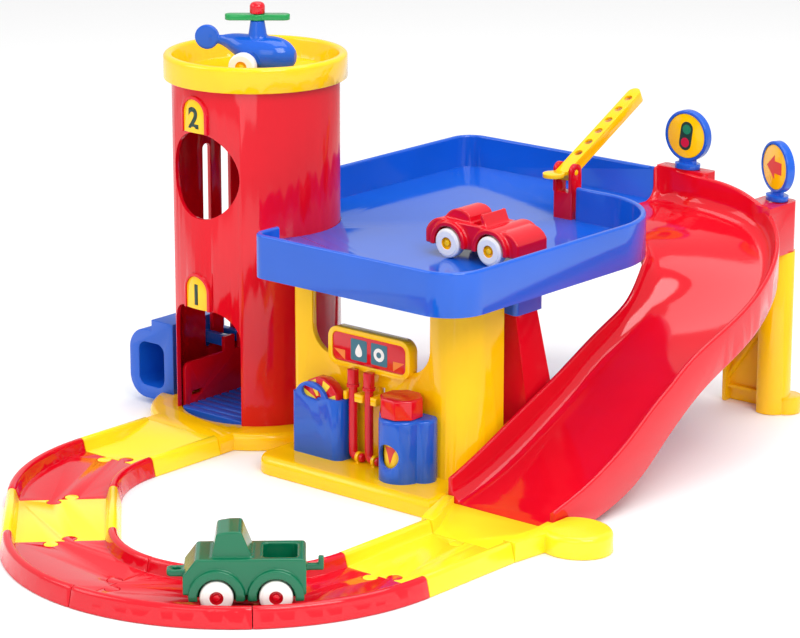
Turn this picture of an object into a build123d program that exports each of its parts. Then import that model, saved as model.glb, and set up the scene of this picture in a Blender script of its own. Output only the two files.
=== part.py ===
from build123d import *
from math import cos, degrees, radians, sin
import os

# Toy parking garage with a lift tower, a raised deck, a slide and a loop of road.
# Millimetres. The origin is on the floor, on the axis of the lift tower. X runs along the front
# of the garage, Y runs back and Z is up.

os.makedirs("parts", exist_ok=True)

# ---------------------------------------------------------------- clearances and walls
move_gap = 0.3        # between pieces that move past each other
seat_gap = 0.1        # between pieces that are fitted together
pin_gap = 0.05        # around a turning pin
wall = 2.2            # thickness of a moulded wall

# ---------------------------------------------------------------- lift tower
tower_radius = 43.3
tower_top = 183.5
base_radius = 57.5
base_height = 8.5
base_well_floor = 4.0
base_edge_round = 3.0
stub_front = -60.0    # front end of the base, where the road begins
tower_bore = tower_radius - wall
door_angle = -94.0
door_width = 49.0
door_height = 59.5
door_corner = 15.0
window_angle = -90.0
window_radius = 22.5
window_z = 138.3
label_angle = -93.0
label_width = 15.5
label_height = 17.5
label_thickness = 0.9
label_border = 1.6
label_z = (68.0, 160.5)
exit_angle = 64.0
exit_width = 38.0
exit_height = 42.0
exit_corner = 15.0

# ---------------------------------------------------------------- roof dish
dish_radius = 47.3
dish_rim_width = 4.3
dish_rim_height = 13.0
dish_floor_thickness = 2.5
dish_spigot = 3.5

# ---------------------------------------------------------------- deck
deck_z = 108.0        # top of the deck's floor, and of the slide's first step
deck_floor = 3.0
deck_wall = 3.0
deck_rim = 17.4       # height of the rim above the floor
deck_skirt = 1.5      # how far the wall hangs below the floor
deck_left = 0.0
deck_right = 196.5
deck_front = -75.7
deck_back = 171.6
deck_front_left = 65.0
deck_end_wall = 18.7
deck_step_x = 130.0   # where the lane leaves the deck for the slide
deck_step_y = 106.5
deck_corner = 50.5
deck_front_corner = 20.0
deck_back_corner = 13.0
deck_left_corner = 8.5
socket_depth = 17.0
socket_wall = 2.0

# ---------------------------------------------------------------- lift
lift_travel = deck_z - base_height - move_gap
platform_thickness = 4.5
platform_front = -33.0
platform_left = -26.0
guard_thickness = 2.0
guard_half = 29.0
guard_height = 22.2
slot_width = 5.2
slot_y = (5.0, 16.5)
tab_width = 4.4
tab_height = 6.0
tab_z = 33.0
grip_length = 32.4
grip_half = 20.0
grip_bottom = 3.0
grip_top = 41.0
grip_round = 12.0
grip_rim = 7.0
grip_web = 3.0
grip_block_length = 15.9
grip_block_height = 6.0

# ---------------------------------------------------------------- filling station wall
front_y = -38.0       # front face of the wall
wall_thickness = 3.0
plate_left = 57.5
plate_right = 174.4
plate_front = -68.4
plate_back = -10.0
plate_top = 9.0
plate_round = 4.0
plate_corner = 12.0
left_post_right = 72.1
left_post_back = -22.0
right_post_left = 149.0
right_post_right = 171.0
right_post_round = 16.0
right_post_back = -8.0
notch_bottom = 59.0
notch_corner = 14.0
sign_left = 85.5
sign_right = 138.5
sign_low = 55.5
sign_high = 75.5
sign_round = 6.0
sign_proud = 3.0
sign_border = 2.6
sign_recess = 1.2
sign_thickness = 0.8

# ---------------------------------------------------------------- pumps
hose_x = (104.3, 114.7)
hose_y = -43.8
hose_radius = 2.2
hose_pivot_z = 11.6
hose_bend = 2.8
hose_collar_z = 47.5
hose_top = 56.5
hose_pin_radius = 1.5
hose_head_radius = 2.3
hose_head_length = 1.9
lug_width = 1.8
clip_z = 40.8
clip_height = 4.0
clip_reach = 8.2
peep_hole_z = 46.8
peep_hole = 3.2

# ---------------------------------------------------------------- cans
can_left = 69.8
can_right = 101.0
can_front = -51.0
can_shoulder = 40.4
can_hump = 6.8
can_hump_x = (72.0, 82.0, 92.6)
can_wall = 1.8
can_hole_x = 82.7
can_hole_z = 41.4
wheel_x = 86.5
wheel_z = 37.5
wheel_radius = 12.3
wheel_thickness = 6.4
wheel_facets = 14
wheel_pin = 2.0
oil_x = 140.5
oil_y = -49.4
oil_front_radius = 11.2
oil_side_radius = 6.5
oil_side_x = 10.0
oil_side_y = -44.5
oil_top = 41.0
oil_wall = 2.0
oil_window = 6.2
oil_window_z = 22.5
drum_gap = 0.6
cap_radius = 11.0
cap_height = 10.0
cap_stem = 4.0

# ---------------------------------------------------------------- legs
side_leg_top = ((162.0, 0.0), (174.0, -2.7), (174.0, 14.0), (162.0, 14.0))
side_leg_foot = ((153.5, -0.3), (174.0, 13.9), (174.0, 39.4), (153.5, 39.4))
rear_leg_x = 17.0
rear_leg_y = 150.0
rear_leg_top = (18.0, 8.0)
rear_leg_foot = (28.0, 14.0)
slide_leg_x = 198.0
slide_leg_y = 187.0
slide_leg_radius = 9.5
slide_leg_web_left = 168.0
slide_leg_web_y = 191.0
slide_leg_foot = (204.2, 190.5)
slide_leg_foot_radius = 8.0
slide_leg_foot_height = 9.0

# ---------------------------------------------------------------- slide
chute_wall = 2.6
chute_floor = 2.6
chute_entry = deck_step_x + move_gap
chute_fillet = 8.0
block_1_right = 163.0
block_1_back = 180.0
block_1_top = 126.4
block_2_x = (187.5, 207.0)
block_2_back = 193.0
block_2_low = 88.0
block_2_top = 115.0

# ---------------------------------------------------------------- road signs
road_sign_places = ((148.0, 174.8, block_1_top), (198.0, 185.5, block_2_top))
road_sign_angles = (-90.0, -115.0)
road_sign_radius = 13.65
road_sign_thickness = 4.8
road_sign_face = 12.0
road_sign_face_depth = 0.8
road_sign_height = 17.8
road_sign_pin = 2.5
road_sign_pin_depth = 8.0

# ---------------------------------------------------------------- barrier
barrier_x = 119.7
barrier_y = 107.5
barrier_pivot_z = 132.5
barrier_post_width = 12.0
barrier_post_depth = 8.4
barrier_cheek = 2.0
barrier_saddle_z = 122.0
barrier_top_z = 137.0
barrier_angle = 27.6
barrier_length = 68.6
barrier_arm_depth = 6.0
barrier_pin_radius = 1.5
barrier_hole_radius = 2.2
barrier_hole_count = 6
barrier_hole_pitch = 9.6
paddle_middle = 11.5
paddle_length = 12.0
paddle_width = 11.0
paddle_thickness = 2.0

# ---------------------------------------------------------------- road
lane_half = 21.0
kerb_ridge = 24.5
kerb_foot = 28.5
kerb_top = 9.5
road_floor = 3.0
road_thickness = 2.0
seam_gap = 0.3
curve_radius = 86.0
curve_angle = 45.0
straight_length = 61.0
ramp_end = -82.0
knob_radius = 3.4
knob_reach = 3.6
knob_neck = 4.0
knob_offset = 4.3
knob_gap = 0.25
tower_road_end = -107.0

apron_kerb = 9.5
apron_end_y = -55.4
apron_end_z = 6.0
apron_foot = (253.0, -55.0)
apron_foot_size = (18.0, 16.0)
apron_foot_height = 10.5

# ---------------------------------------------------------------- toy vehicles
# Each toy has its place between the axles on its floor, and its heading.
pickup_place = (191.3, -214.5, road_floor)
pickup_heading = -138.0
car_place = (140.3, 15.5, deck_z)
car_heading = 1.0
helicopter_place = (11.0, -10.0, tower_top + dish_floor_thickness)
helicopter_heading = 25.0
rotor_heading = 40.0
toy_wheel_radius = 7.5
toy_wheel_width = 6.0
toy_hub_radius = 4.6
toy_axle_radius = 1.5
toy_track = 30.0
toy_wheelbase = 26.2
helicopter_wheel_radius = 7.0
helicopter_axle_x = -4.2


def facing(angle, height=0.0, x=0.0, y=0.0):
    """Upright plane at (x, y) that looks out at a compass angle, with its own Y upwards."""
    turn = radians(angle)
    return Plane(origin=(x, y, height), x_dir=(-sin(turn), cos(turn), 0), z_dir=(cos(turn), sin(turn), 0))


def arch_outline(width, height):
    """Upright plate with a round top, standing on its own origin."""
    straight = height - width / 2
    with BuildSketch() as outline:
        with Locations((0, straight / 2)):
            Rectangle(width, straight)
        with Locations((0, straight)):
            Circle(width / 2)
    return outline.sketch


def wrapped_on_tower(outline, height, inside, thickness):
    """Thin plate that hugs the tower's wall behind an upright outline."""
    with BuildPart() as patch:
        with BuildSketch(Plane.XY.offset(height)):
            Circle(inside + thickness)
            Circle(inside, mode=Mode.SUBTRACT)
        extrude(amount=tower_top - height)
        with BuildSketch(facing(label_angle, height)):
            add(outline)
        extrude(amount=base_radius, mode=Mode.INTERSECT)
    return patch.part


# ================================================================ tower base
with BuildPart() as tower_base:
    with BuildSketch():
        Circle(base_radius)
        with Locations((0, stub_front / 2)):
            Rectangle(2 * kerb_foot, -stub_front)
    extrude(amount=base_height)
    base_top_edges = tower_base.faces().sort_by(Axis.Z)[-1].edges()
    fillet(base_top_edges.sort_by(Axis.Y)[1:], radius=base_edge_round)
    with BuildSketch(Plane.XY.offset(base_well_floor)):
        Circle(tower_bore)
    extrude(amount=base_height, mode=Mode.SUBTRACT)
    with BuildSketch():
        Circle(base_radius - wall - base_edge_round / 2)
        Circle(tower_radius + wall, mode=Mode.SUBTRACT)
    extrude(amount=base_height - wall, mode=Mode.SUBTRACT)
    with BuildSketch():
        with Locations((-tower_radius - move_gap - grip_length / 2, 0)):
            Rectangle(grip_length, 2 * grip_half + 4 * move_gap)
    extrude(amount=base_height, mode=Mode.SUBTRACT)
tower_base.part.label = "tower_base"
export_step(tower_base.part, "parts/tower_base.step")

# ================================================================ tower shell
slot_low = tab_z - 2 * move_gap
slot_high = tab_z + tab_height + lift_travel + 2 * move_gap
with BuildPart() as tower_shell:
    with BuildSketch(Plane.XY.offset(base_height)):
        Circle(tower_radius)
        Circle(tower_bore, mode=Mode.SUBTRACT)
    extrude(amount=tower_top - base_height)
    with BuildSketch(facing(door_angle, base_height)) as door:
        with Locations((0, door_height / 2)):
            Rectangle(door_width, door_height)
        fillet(door.vertices().group_by(Axis.Y)[-1], radius=door_corner)
    extrude(amount=base_radius, mode=Mode.SUBTRACT)
    with BuildSketch(facing(window_angle, window_z)):
        Circle(window_radius)
    extrude(amount=base_radius, mode=Mode.SUBTRACT)
    with BuildSketch(facing(exit_angle, deck_z - move_gap)) as way_out:
        with Locations((0, exit_height / 2)):
            Rectangle(exit_width, exit_height)
        fillet(way_out.vertices().group_by(Axis.Y)[-1], radius=exit_corner)
    extrude(amount=base_radius, mode=Mode.SUBTRACT)
    with BuildSketch(facing(180.0, (slot_low + slot_high) / 2)):
        with Locations(*[(-y, 0) for y in slot_y]):
            SlotOverall(slot_high - slot_low + slot_width, slot_width, rotation=90)
    extrude(amount=base_radius, mode=Mode.SUBTRACT)
    for border_z in label_z:
        border_width = label_width + 2 * label_border
        with BuildSketch() as border:
            add(arch_outline(border_width, label_height + label_border))
            add(arch_outline(label_width + seat_gap, label_height), mode=Mode.SUBTRACT)
        add(wrapped_on_tower(border.sketch, border_z, tower_radius - wall / 2, wall / 2 + label_border))
tower_shell.part.label = "tower_shell"
export_step(tower_shell.part, "parts/tower_shell.step")

# ================================================================ floor labels
for floor_number, floor_z in enumerate(label_z, start=1):
    label_plate = arch_outline(label_width - 2 * seat_gap, label_height - 2 * seat_gap)
    with BuildPart() as floor_label:
        add(wrapped_on_tower(label_plate, floor_z + seat_gap, tower_radius, label_thickness))
    floor_label.part.label = f"floor_label_{floor_number}"
    export_step(floor_label.part, f"parts/floor_label_{floor_number}.step")

# ================================================================ roof dish
dish_inner = dish_radius - dish_rim_width
dish_floor_z = tower_top + dish_floor_thickness
dish_top_z = tower_top + dish_rim_height
with BuildPart() as roof_dish:
    with BuildSketch(Plane.XZ) as dish_profile:
        with BuildLine():
            Polyline(
                (0, tower_top),
                (dish_radius, tower_top),
                (dish_radius, dish_top_z),
                (dish_inner, dish_top_z),
                (dish_inner - dish_floor_thickness, dish_floor_z),
                (0, dish_floor_z),
                close=True,
            )
        make_face()
        fillet(dish_profile.vertices().group_by(Axis.Y)[-1], radius=dish_rim_width / 2 - 0.1)
    revolve(axis=Axis.Z)
    with BuildSketch(Plane.XY.offset(tower_top - dish_spigot)):
        Circle(tower_bore - seat_gap)
        Circle(tower_bore - seat_gap - wall, mode=Mode.SUBTRACT)
    extrude(amount=dish_spigot)
roof_dish.part.label = "roof_dish"
export_step(roof_dish.part, "parts/roof_dish.step")

# ================================================================ lift
platform_radius = tower_bore - 0.5
platform_low = base_well_floor + move_gap
platform_top = platform_low + platform_thickness
groove_pitch = 6.0
groove_width = 1.6
groove_depth = 0.8
with BuildPart() as lift_platform:
    with BuildSketch(Plane.XY.offset(platform_low)):
        Circle(platform_radius)
        with Locations((0, platform_front - platform_radius / 2)):
            Rectangle(2 * platform_radius, platform_radius, mode=Mode.SUBTRACT)
        with Locations((platform_left - platform_radius / 2, 0)):
            Rectangle(platform_radius, 2 * platform_radius, mode=Mode.SUBTRACT)
    extrude(amount=platform_thickness)
    with BuildSketch(Plane.XY.offset(platform_top - groove_depth)):
        with GridLocations(0, groove_pitch, 1, 10):
            Rectangle(2 * platform_radius - 24, groove_width)
    extrude(amount=groove_depth, mode=Mode.SUBTRACT)
lift_platform.part.label = "lift_platform"
export_step(lift_platform.part, "parts/lift_platform.step")

guard_face = platform_left - guard_thickness
guard_top = platform_top + guard_height
guard_corner = 4.0
ear_width = 8.0
with BuildPart() as lift_guard:
    with BuildSketch(Plane.YZ.offset(guard_face)) as guard_outline:
        with Locations((0, (platform_low + guard_top) / 2)):
            Rectangle(2 * guard_half, guard_top - platform_low)
        fillet(guard_outline.vertices().group_by(Axis.Y)[-1], radius=guard_corner)
        with Locations(*[(y, tab_z + tab_height - (tab_z + tab_height - platform_top) / 2) for y in slot_y]):
            Rectangle(ear_width, tab_z + tab_height - platform_top)
        with Locations((-guard_half + 9, platform_top + 5)):
            SlotOverall(8, 2.4, mode=Mode.SUBTRACT)
    extrude(amount=guard_thickness)
lift_guard.part.label = "lift_guard"
export_step(lift_guard.part, "parts/lift_guard.step")

grip_inner = -tower_radius - move_gap
grip_outer = grip_inner - grip_length
grip_middle_z = (grip_bottom + grip_top) / 2
with BuildPart() as lift_grip:
    with BuildSketch(Plane.XZ.offset(-grip_half)) as grip_side:
        with Locations(((grip_inner + grip_outer) / 2, grip_middle_z)):
            Rectangle(grip_length, grip_top - grip_bottom)
        fillet(grip_side.vertices().group_by(Axis.X)[0], radius=grip_round)
    extrude(amount=2 * grip_half)
    with BuildSketch(Plane.XZ.offset(grip_half)) as grip_pocket:
        with Locations(((grip_inner + grip_outer) / 2, grip_middle_z)):
            Rectangle(grip_length - 2 * grip_rim, grip_top - grip_bottom - 2 * grip_rim)
        fillet(grip_pocket.vertices(), radius=grip_round - grip_rim)
    extrude(amount=-2 * grip_half + grip_web, mode=Mode.SUBTRACT)
    with BuildSketch(Plane.XZ.offset(-grip_half)) as grip_block:
        with Locations((grip_inner - grip_block_length / 2, grip_top + grip_block_height / 2)):
            Rectangle(grip_block_length, grip_block_height)
    extrude(amount=2 * grip_half)
    with BuildSketch(Plane.YZ.offset(guard_face)):
        with Locations(*[(y, tab_z + tab_height / 2) for y in slot_y]):
            Rectangle(tab_width, tab_height)
    extrude(amount=grip_inner - 1 - guard_face)
lift_grip.part.label = "lift_grip"
export_step(lift_grip.part, "parts/lift_grip.step")

# ================================================================ filling station wall
wall_top = deck_z - deck_floor - move_gap


def right_post_outline(grow):
    """Plan of the round right-hand post, grown outwards."""
    left, right = right_post_left - grow, right_post_right + grow
    front, back = front_y - grow, right_post_back + grow
    with BuildSketch() as outline:
        with BuildLine():
            Line((right, back), (left, back))
            Line((left, back), (left, front))
            Line((left, front), (right_post_right - right_post_round, front))
            ThreePointArc(
                (right_post_right - right_post_round, front),
                (
                    right_post_right - right_post_round + (right_post_round + grow) * sin(radians(45)),
                    front_y + right_post_round - (right_post_round + grow) * cos(radians(45)),
                ),
                (right, front_y + right_post_round),
            )
            Line((right, front_y + right_post_round), (right, back))
        make_face()
    return outline.sketch


with BuildPart() as facade:
    with BuildSketch() as plate_plan:
        with Locations(((plate_left + plate_right) / 2, (plate_front + plate_back) / 2)):
            Rectangle(plate_right - plate_left, plate_back - plate_front)
        fillet(plate_plan.vertices().group_by(Axis.Y)[0].sort_by(Axis.X)[0], radius=plate_corner)
    extrude(amount=plate_top)
    fillet(facade.faces().sort_by(Axis.Z)[-1].edges(), radius=plate_round)
    with BuildSketch():
        with Locations(((plate_left + plate_right) / 2, (plate_front + plate_back) / 2)):
            RectangleRounded(
                plate_right - plate_left - 2 * plate_round,
                plate_back - plate_front - 2 * plate_round,
                plate_corner - plate_round,
            )
    extrude(amount=plate_top - wall, mode=Mode.SUBTRACT)
    half_wall = wall_thickness / 2
    with BuildSketch():
        with BuildLine() as wall_line:
            FilletPolyline(
                (plate_left + half_wall, left_post_back),
                (plate_left + half_wall, front_y + half_wall),
                (plate_left + 3 * plate_round, front_y + half_wall),
                radius=plate_round,
            )
            Line((plate_left + 3 * plate_round, front_y + half_wall), (right_post_left, front_y + half_wall))
            FilletPolyline(
                (right_post_left, front_y + half_wall),
                (right_post_right - half_wall, front_y + half_wall),
                (right_post_right - half_wall, right_post_back),
                radius=right_post_round - half_wall,
            )
        trace(line_width=wall_thickness)
    extrude(amount=wall_top)
    with BuildSketch(Plane.XZ.offset(-front_y + wall)) as notch:
        with Locations(((left_post_right + right_post_left) / 2, (notch_bottom + deck_z) / 2)):
            Rectangle(right_post_left - left_post_right, deck_z - notch_bottom)
        fillet(notch.vertices().group_by(Axis.Y)[0], radius=notch_corner)
    extrude(amount=-2 * wall - wall_thickness, mode=Mode.SUBTRACT)
    with BuildSketch(Plane.XZ.offset(-front_y - wall_thickness)):
        with Locations(((sign_left + sign_right) / 2, (sign_low + sign_high) / 2)):
            RectangleRounded(sign_right - sign_left, sign_high - sign_low, sign_round)
    extrude(amount=wall_thickness + sign_proud)
    with BuildSketch(Plane.XZ.offset(-front_y + sign_proud)):
        with Locations(((sign_left + sign_right) / 2, (sign_low + sign_high) / 2)):
            RectangleRounded(
                sign_right - sign_left - 2 * sign_border,
                sign_high - sign_low - 2 * sign_border,
                sign_round - sign_border,
            )
    extrude(amount=-sign_recess, mode=Mode.SUBTRACT)
    with BuildSketch(Plane.XZ.offset(-front_y + wall)):
        with Locations(*[(x + hose_radius + peep_hole / 2, peep_hole_z) for x in hose_x]):
            Rectangle(peep_hole, peep_hole)
    extrude(amount=-2 * wall - wall_thickness, mode=Mode.SUBTRACT)
    clip_edges = (
        (can_right - can_wall + move_gap, hose_x[0] - hose_radius - move_gap),
        (hose_x[0] + hose_radius + move_gap, hose_x[1] - hose_radius - move_gap),
        (hose_x[1] + hose_radius + move_gap, hose_x[1] + hose_radius + move_gap + 4),
    )
    for clip_from, clip_to in clip_edges:
        with BuildSketch(Plane.XY.offset(clip_z)):
            with Locations(((clip_from + clip_to) / 2, front_y - clip_reach / 2)):
                RectangleRounded(clip_to - clip_from, clip_reach, 0.8)
            with Locations(((clip_from + clip_to) / 2, front_y - 1)):
                Rectangle(clip_to - clip_from, 2)
        extrude(amount=clip_height)
    for x in hose_x:
        lug_left = x + hose_bend + move_gap
        with BuildSketch(Plane.YZ.offset(lug_left)):
            with Locations((front_y - (front_y - hose_y + 2) / 2, plate_top + 2)):
                Rectangle(front_y - hose_y + 2, 4)
            with Locations((hose_y, hose_pivot_z)):
                Circle(hose_pin_radius + 1.4)
                Circle(hose_pin_radius + pin_gap, mode=Mode.SUBTRACT)
        extrude(amount=lug_width)
facade.part.label = "facade"
export_step(facade.part, "parts/facade.step")

with BuildPart() as pump_sign:
    with BuildSketch(Plane.XZ.offset(-front_y + sign_proud - sign_recess)):
        with Locations(((sign_left + sign_right) / 2, (sign_low + sign_high) / 2)):
            RectangleRounded(
                sign_right - sign_left - 2 * sign_border - 2 * seat_gap,
                sign_high - sign_low - 2 * sign_border - 2 * seat_gap,
                sign_round - sign_border - seat_gap,
            )
    extrude(amount=sign_thickness)
pump_sign.part.label = "pump_sign"
export_step(pump_sign.part, "parts/pump_sign.step")

# ================================================================ pump hoses
collar_radius = 3.3
collar_height = 1.6
nozzle_width = 4.7
hose_pin_length = lug_width + 2 * move_gap
for hose_name, x in zip(("pump_hose_left", "pump_hose_right"), hose_x):
    with BuildPart() as pump_hose:
        with BuildLine() as hose_path:
            Line((x, hose_y, hose_collar_z), (x, hose_y, hose_pivot_z + hose_bend))
            ThreePointArc(
                (x, hose_y, hose_pivot_z + hose_bend),
                (
                    x + hose_bend * (1 - cos(radians(45))),
                    hose_y,
                    hose_pivot_z + hose_bend * (1 - sin(radians(45))),
                ),
                (x + hose_bend, hose_y, hose_pivot_z),
            )
        with BuildSketch(Plane.XY.offset(hose_collar_z)):
            with Locations((x, hose_y)):
                Circle(hose_radius)
        sweep(path=hose_path.line)
        with BuildSketch(Plane.YZ.offset(x + hose_bend)):
            with Locations((hose_y, hose_pivot_z)):
                Circle(hose_pin_radius)
        extrude(amount=hose_pin_length)
        with BuildSketch(Plane.YZ.offset(x + hose_bend + hose_pin_length)):
            with Locations((hose_y, hose_pivot_z)):
                Circle(hose_head_radius)
        extrude(amount=hose_head_length)
        fillet(pump_hose.faces().sort_by(Axis.X)[-1].edges(), radius=hose_head_length / 2)
        with BuildSketch(Plane.XY.offset(hose_collar_z)):
            with Locations((x, hose_y)):
                Circle(collar_radius)
        extrude(amount=collar_height)
        with BuildSketch(Plane.XY.offset(hose_collar_z + collar_height)):
            with Locations((x, hose_y)):
                RectangleRounded(nozzle_width, nozzle_width, 1.2)
        extrude(amount=hose_top - hose_collar_z - collar_height)
    pump_hose.part.label = hose_name
    export_step(pump_hose.part, f"parts/{hose_name}.step")

# ================================================================ jerry can
can_x = (can_left + can_right) / 2
can_y = (can_front + front_y) / 2
can_depth = front_y - can_front
with BuildPart() as jerry_can:
    with BuildSketch(Plane.XY.offset(plate_top)) as can_plan:
        with Locations((can_x, can_y)):
            Rectangle(can_right - can_left, can_depth)
        fillet(can_plan.vertices().group_by(Axis.Y)[0].sort_by(Axis.X)[0], radius=2)
        fillet(can_plan.vertices().sort_by_distance((can_right, can_front))[0], radius=5)
    extrude(amount=can_shoulder - plate_top)
    with BuildSketch(Plane.XZ.offset(-can_front - can_wall)):
        with BuildLine():
            ThreePointArc(
                (can_hump_x[0], can_shoulder),
                (can_hump_x[1], can_shoulder + can_hump),
                (can_hump_x[2], can_shoulder),
            )
            Line((can_hump_x[2], can_shoulder), (can_hump_x[2], can_shoulder - can_wall))
            Line((can_hump_x[2], can_shoulder - can_wall), (can_hump_x[0], can_shoulder - can_wall))
            Line((can_hump_x[0], can_shoulder - can_wall), (can_hump_x[0], can_shoulder))
        make_face()
    extrude(amount=can_wall)
    with BuildSketch(Plane.XY.offset(plate_top + can_wall)):
        with Locations((can_x, can_y)):
            RectangleRounded(can_right - can_left - 2 * can_wall, can_depth - 2 * can_wall, 0.8)
    extrude(amount=can_shoulder, mode=Mode.SUBTRACT)
    with BuildSketch(Plane.XZ.offset(-can_front)):
        with Locations((can_hole_x, can_hole_z)):
            SlotOverall(13, 5.6, rotation=-8)
    extrude(amount=-can_wall, mode=Mode.SUBTRACT)
    with BuildSketch(Plane.XZ.offset(-can_front - can_wall)):
        with Locations((wheel_x, wheel_z)):
            Circle(wheel_pin)
    extrude(amount=-can_depth + 2 * can_wall)
jerry_can.part.label = "jerry_can"
export_step(jerry_can.part, "parts/jerry_can.step")

with BuildPart() as can_wheel:
    with BuildSketch(Plane.XZ.offset(-can_front - can_wall - move_gap)):
        with Locations((wheel_x, wheel_z)):
            RegularPolygon(wheel_radius, wheel_facets)
            Circle(wheel_pin + pin_gap, mode=Mode.SUBTRACT)
    extrude(amount=-wheel_thickness)
can_wheel.part.label = "can_wheel"
export_step(can_wheel.part, "parts/can_wheel.step")

# ================================================================ oil can
drum_room = oil_front_radius - oil_wall
oil_roof = oil_top - oil_wall - 0.5
with BuildPart() as oil_can:
    with BuildSketch(Plane.XY.offset(plate_top)):
        with Locations((oil_x, oil_y)):
            Circle(oil_front_radius)
        with Locations((oil_x - oil_side_x, oil_side_y), (oil_x + oil_side_x, oil_side_y)):
            Circle(oil_side_radius)
        with Locations((oil_x, (oil_side_y + front_y) / 2)):
            Rectangle(2 * oil_side_x + oil_side_radius, front_y - oil_side_y)
    extrude(amount=oil_top - plate_top)
    fillet(oil_can.faces().sort_by(Axis.Z)[-1].edges(), radius=2)
    with BuildSketch(Plane.XY.offset(plate_top + oil_wall)):
        with Locations((oil_x, oil_y)):
            Circle(drum_room)
    extrude(amount=oil_roof - plate_top - oil_wall, mode=Mode.SUBTRACT)
    with BuildSketch(Plane.XY.offset(oil_roof)):
        with Locations((oil_x, oil_y)):
            Circle(cap_stem + pin_gap)
    extrude(amount=oil_top, mode=Mode.SUBTRACT)
    with BuildSketch(Plane.XZ.offset(-oil_y)):
        with Locations((oil_x, oil_window_z)):
            Circle(oil_window)
    extrude(amount=2 * oil_front_radius, mode=Mode.SUBTRACT)
    with BuildSketch(Plane.XZ.offset(-front_y)):
        with Locations((oil_x, plate_top + oil_top / 2)):
            Rectangle(3 * oil_front_radius, 2 * oil_top)
    extrude(amount=-oil_front_radius, mode=Mode.SUBTRACT)
oil_can.part.label = "oil_can"
export_step(oil_can.part, "parts/oil_can.step")

drum_top = oil_roof - move_gap
drum_low = plate_top + oil_wall + move_gap
drum_socket = 4.0
with BuildPart() as gauge_drum:
    with BuildSketch(Plane.XY.offset(drum_low)):
        with Locations((oil_x, oil_y)):
            Circle(drum_room - drum_gap)
    extrude(amount=drum_top - drum_low)
    with BuildSketch(Plane.XY.offset(drum_top - drum_socket)):
        with Locations((oil_x, oil_y)):
            Circle(cap_stem)
    extrude(amount=drum_socket, mode=Mode.SUBTRACT)
gauge_drum.part.label = "gauge_drum"
export_step(gauge_drum.part, "parts/gauge_drum.step")

cap_low = oil_top + move_gap
with BuildPart() as oil_cap:
    with BuildSketch(Plane.XY.offset(cap_low)):
        with Locations((oil_x, oil_y)):
            RegularPolygon(cap_radius, 8, rotation=22.5)
    extrude(amount=cap_height)
    fillet(oil_cap.faces().sort_by(Axis.Z)[-1].edges(), radius=1.2)
    with BuildSketch(Plane.XY.offset(drum_top - drum_socket)):
        with Locations((oil_x, oil_y)):
            Circle(cap_stem - pin_gap)
    extrude(amount=cap_low - drum_top + drum_socket)
oil_cap.part.label = "oil_cap"
export_step(oil_cap.part, "parts/oil_cap.step")

# ================================================================ deck tray
deck_under = deck_z - deck_floor
deck_low = deck_under - deck_skirt
deck_rim_z = deck_z + deck_rim
socket_low = deck_under - socket_depth
socket_grow = socket_wall + move_gap
left_socket_right = 78.8
low_edge_start = (36.0, -29.0)
low_edge_end = (deck_front_left, deck_front + deck_end_wall)


def quad(points):
    """Flat face with the given corners."""
    with BuildSketch() as outline:
        with BuildLine():
            Polyline(*points, close=True)
        make_face()
    return outline.sketch


with BuildSketch() as deck_plan:
    add(
        quad(
            (
                (deck_front_left, deck_front),
                (deck_right, deck_front),
                (deck_right, deck_step_y),
                (deck_step_x, deck_step_y),
                (deck_step_x, deck_back),
                (deck_left, deck_back),
                (deck_left, 0),
                low_edge_start,
                low_edge_end,
            )
        )
    )
    fillet(deck_plan.vertices().sort_by_distance((deck_front_left, deck_front))[0], radius=deck_left_corner)
    fillet(deck_plan.vertices().sort_by_distance((deck_right, deck_front))[0], radius=deck_front_corner)
    fillet(deck_plan.vertices().sort_by_distance((deck_right, deck_step_y))[0], radius=deck_corner)
    fillet(deck_plan.vertices().sort_by_distance((deck_left, deck_back))[0], radius=deck_back_corner)

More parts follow.
